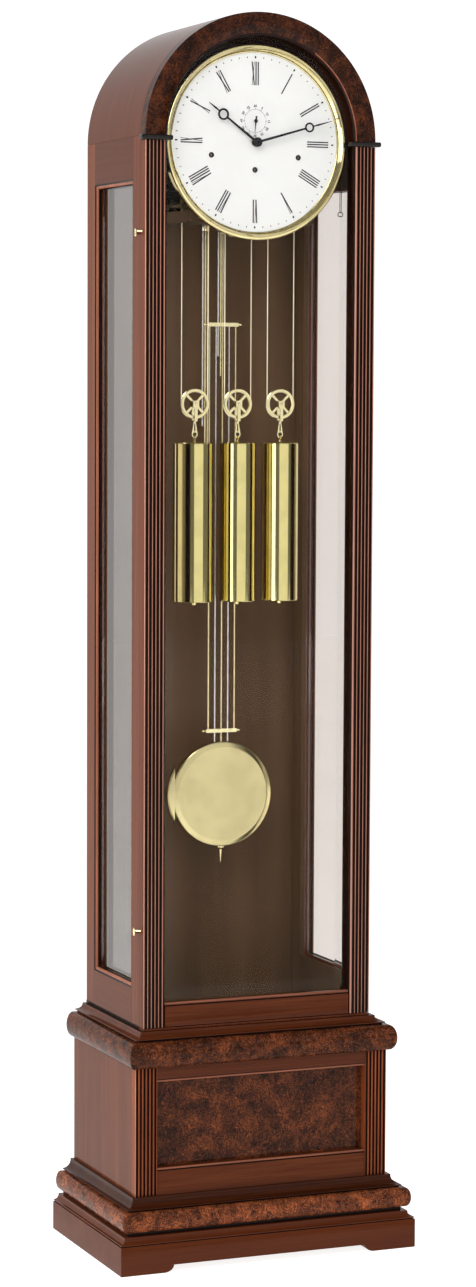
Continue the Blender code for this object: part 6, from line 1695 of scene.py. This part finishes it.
# %% Gongs
block_low, block_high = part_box("chime_block")
GONG_INSET = 0.0186
BLOCK_HEIGHT = 0.014
GONG_RADIUS = 0.0018
gong_y = block_high.y - GONG_INSET
block_foot = block_high.z - BLOCK_HEIGHT
iron_shape = block(bmesh.new(), (block_low.x, block_low.y, block_foot), block_high)
iron = make_piece("gong_block", iron_shape, "case", hand_black, ("chime_block",))
soften(iron, 0.002, 3)
GONGS = ((-0.0040, 0.335), (0.0007, 0.363), (0.0054, 0.391), (0.0238, 0.219), (0.0285, 0.252))
for group, finish, chosen in (("steel", rod_steel, (0, 3)), ("brass", small_brass, (1, 2, 4))):
    gongs = bmesh.new()
    for index in chosen:
        x, hang = GONGS[index]
        tube(gongs, [(x, gong_y, block_foot - hang), (x, gong_y, block_foot - 0.0005)], GONG_RADIUS, 16)
        sleeve = [(0.0, -0.012), (GONG_RADIUS, -0.012), (0.0023, -0.009), (0.0023, 0.0), (0.0, 0.0)]
        lathe(gongs, sleeve, (x, gong_y, block_foot - 0.0002), steps=16)
    make_piece("gong_rods_" + group, gongs, "case", finish)

# %% [markdown]
# ## The movement
# The movement is hidden behind the dial, but the seat board, plates and drums can be seen from the sides
# and through the windows. Their solids are detailed enough, so they only get their metals, and so does the
# silencing pull. The plates get a near-black brass, which is painted shade.

# %% Movement metals
MOVEMENT = ((dull_brass, ("minute_wheel", "hour_wheel", "escape_wheel")),
            (dull_brass, ("drum_left", "drum_centre", "drum_right")),
            # The plates' near-black brass is painted shade.
            (shaded_brass, ("front_plate", "back_plate")),
            (arbor_steel, ("anchor", "suspension_spring")),
            (hand_black, ("centre_arbor", "silence_lever")))
for metal, nodes in MOVEMENT:
    for node in nodes:
        dress(node, metal)
print("movement dressed")

# %% [markdown]
# ## Floor and surroundings
# The floor is plain and nearly white, with the faintest unevenness. The room is brighter behind the clock
# than in front of it, as in a studio with a white backdrop and a dark camera side. The standard view keeps
# colours as the materials state them.

# %% Floor and world
FLOOR_HALF = 12.0
ground = bmesh.new()
bmesh.ops.create_grid(ground, x_segments=2, y_segments=2, size=FLOOR_HALF)
floor_mesh = bpy.data.meshes.new("floor")
ground.to_mesh(floor_mesh)
ground.free()
floor_mesh.materials.append(clouded("pale_floor", 1.5, (0.46, 0.46, 0.455), (0.48, 0.48, 0.475), (0.6, 0.7),
                                    glow=1.85, specular_ior_level=0.0))
floor = bpy.data.objects.new("floor", floor_mesh)
bpy.context.scene.collection.objects.link(floor)
floor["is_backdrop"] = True

room = bpy.data.worlds.new("white_room")
room.use_nodes = True
room.node_tree.nodes.clear()
sky = Wire(room.node_tree)
direction = sky.add_node("ShaderNodeTexCoord")
towards_back = split(direction)[1]
light = mixed(between(towards_back, 0.05, 0.40), (0.18, 0.18, 0.18, 1.0), (1.12, 1.12, 1.12, 1.0))
backdrop = sky.add_node("ShaderNodeBackground", None, {"Color": light, "Strength": 1.0})
sky.add_node("ShaderNodeOutputWorld", None, {"Surface": backdrop})
bpy.context.scene.world = room
bpy.context.scene.view_settings.view_transform = "Standard"
print("studio ready")

# %% Sizes and finish
low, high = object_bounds()
print("visual box", [round(v, 4) for v in low], [round(v, 4) for v in high])
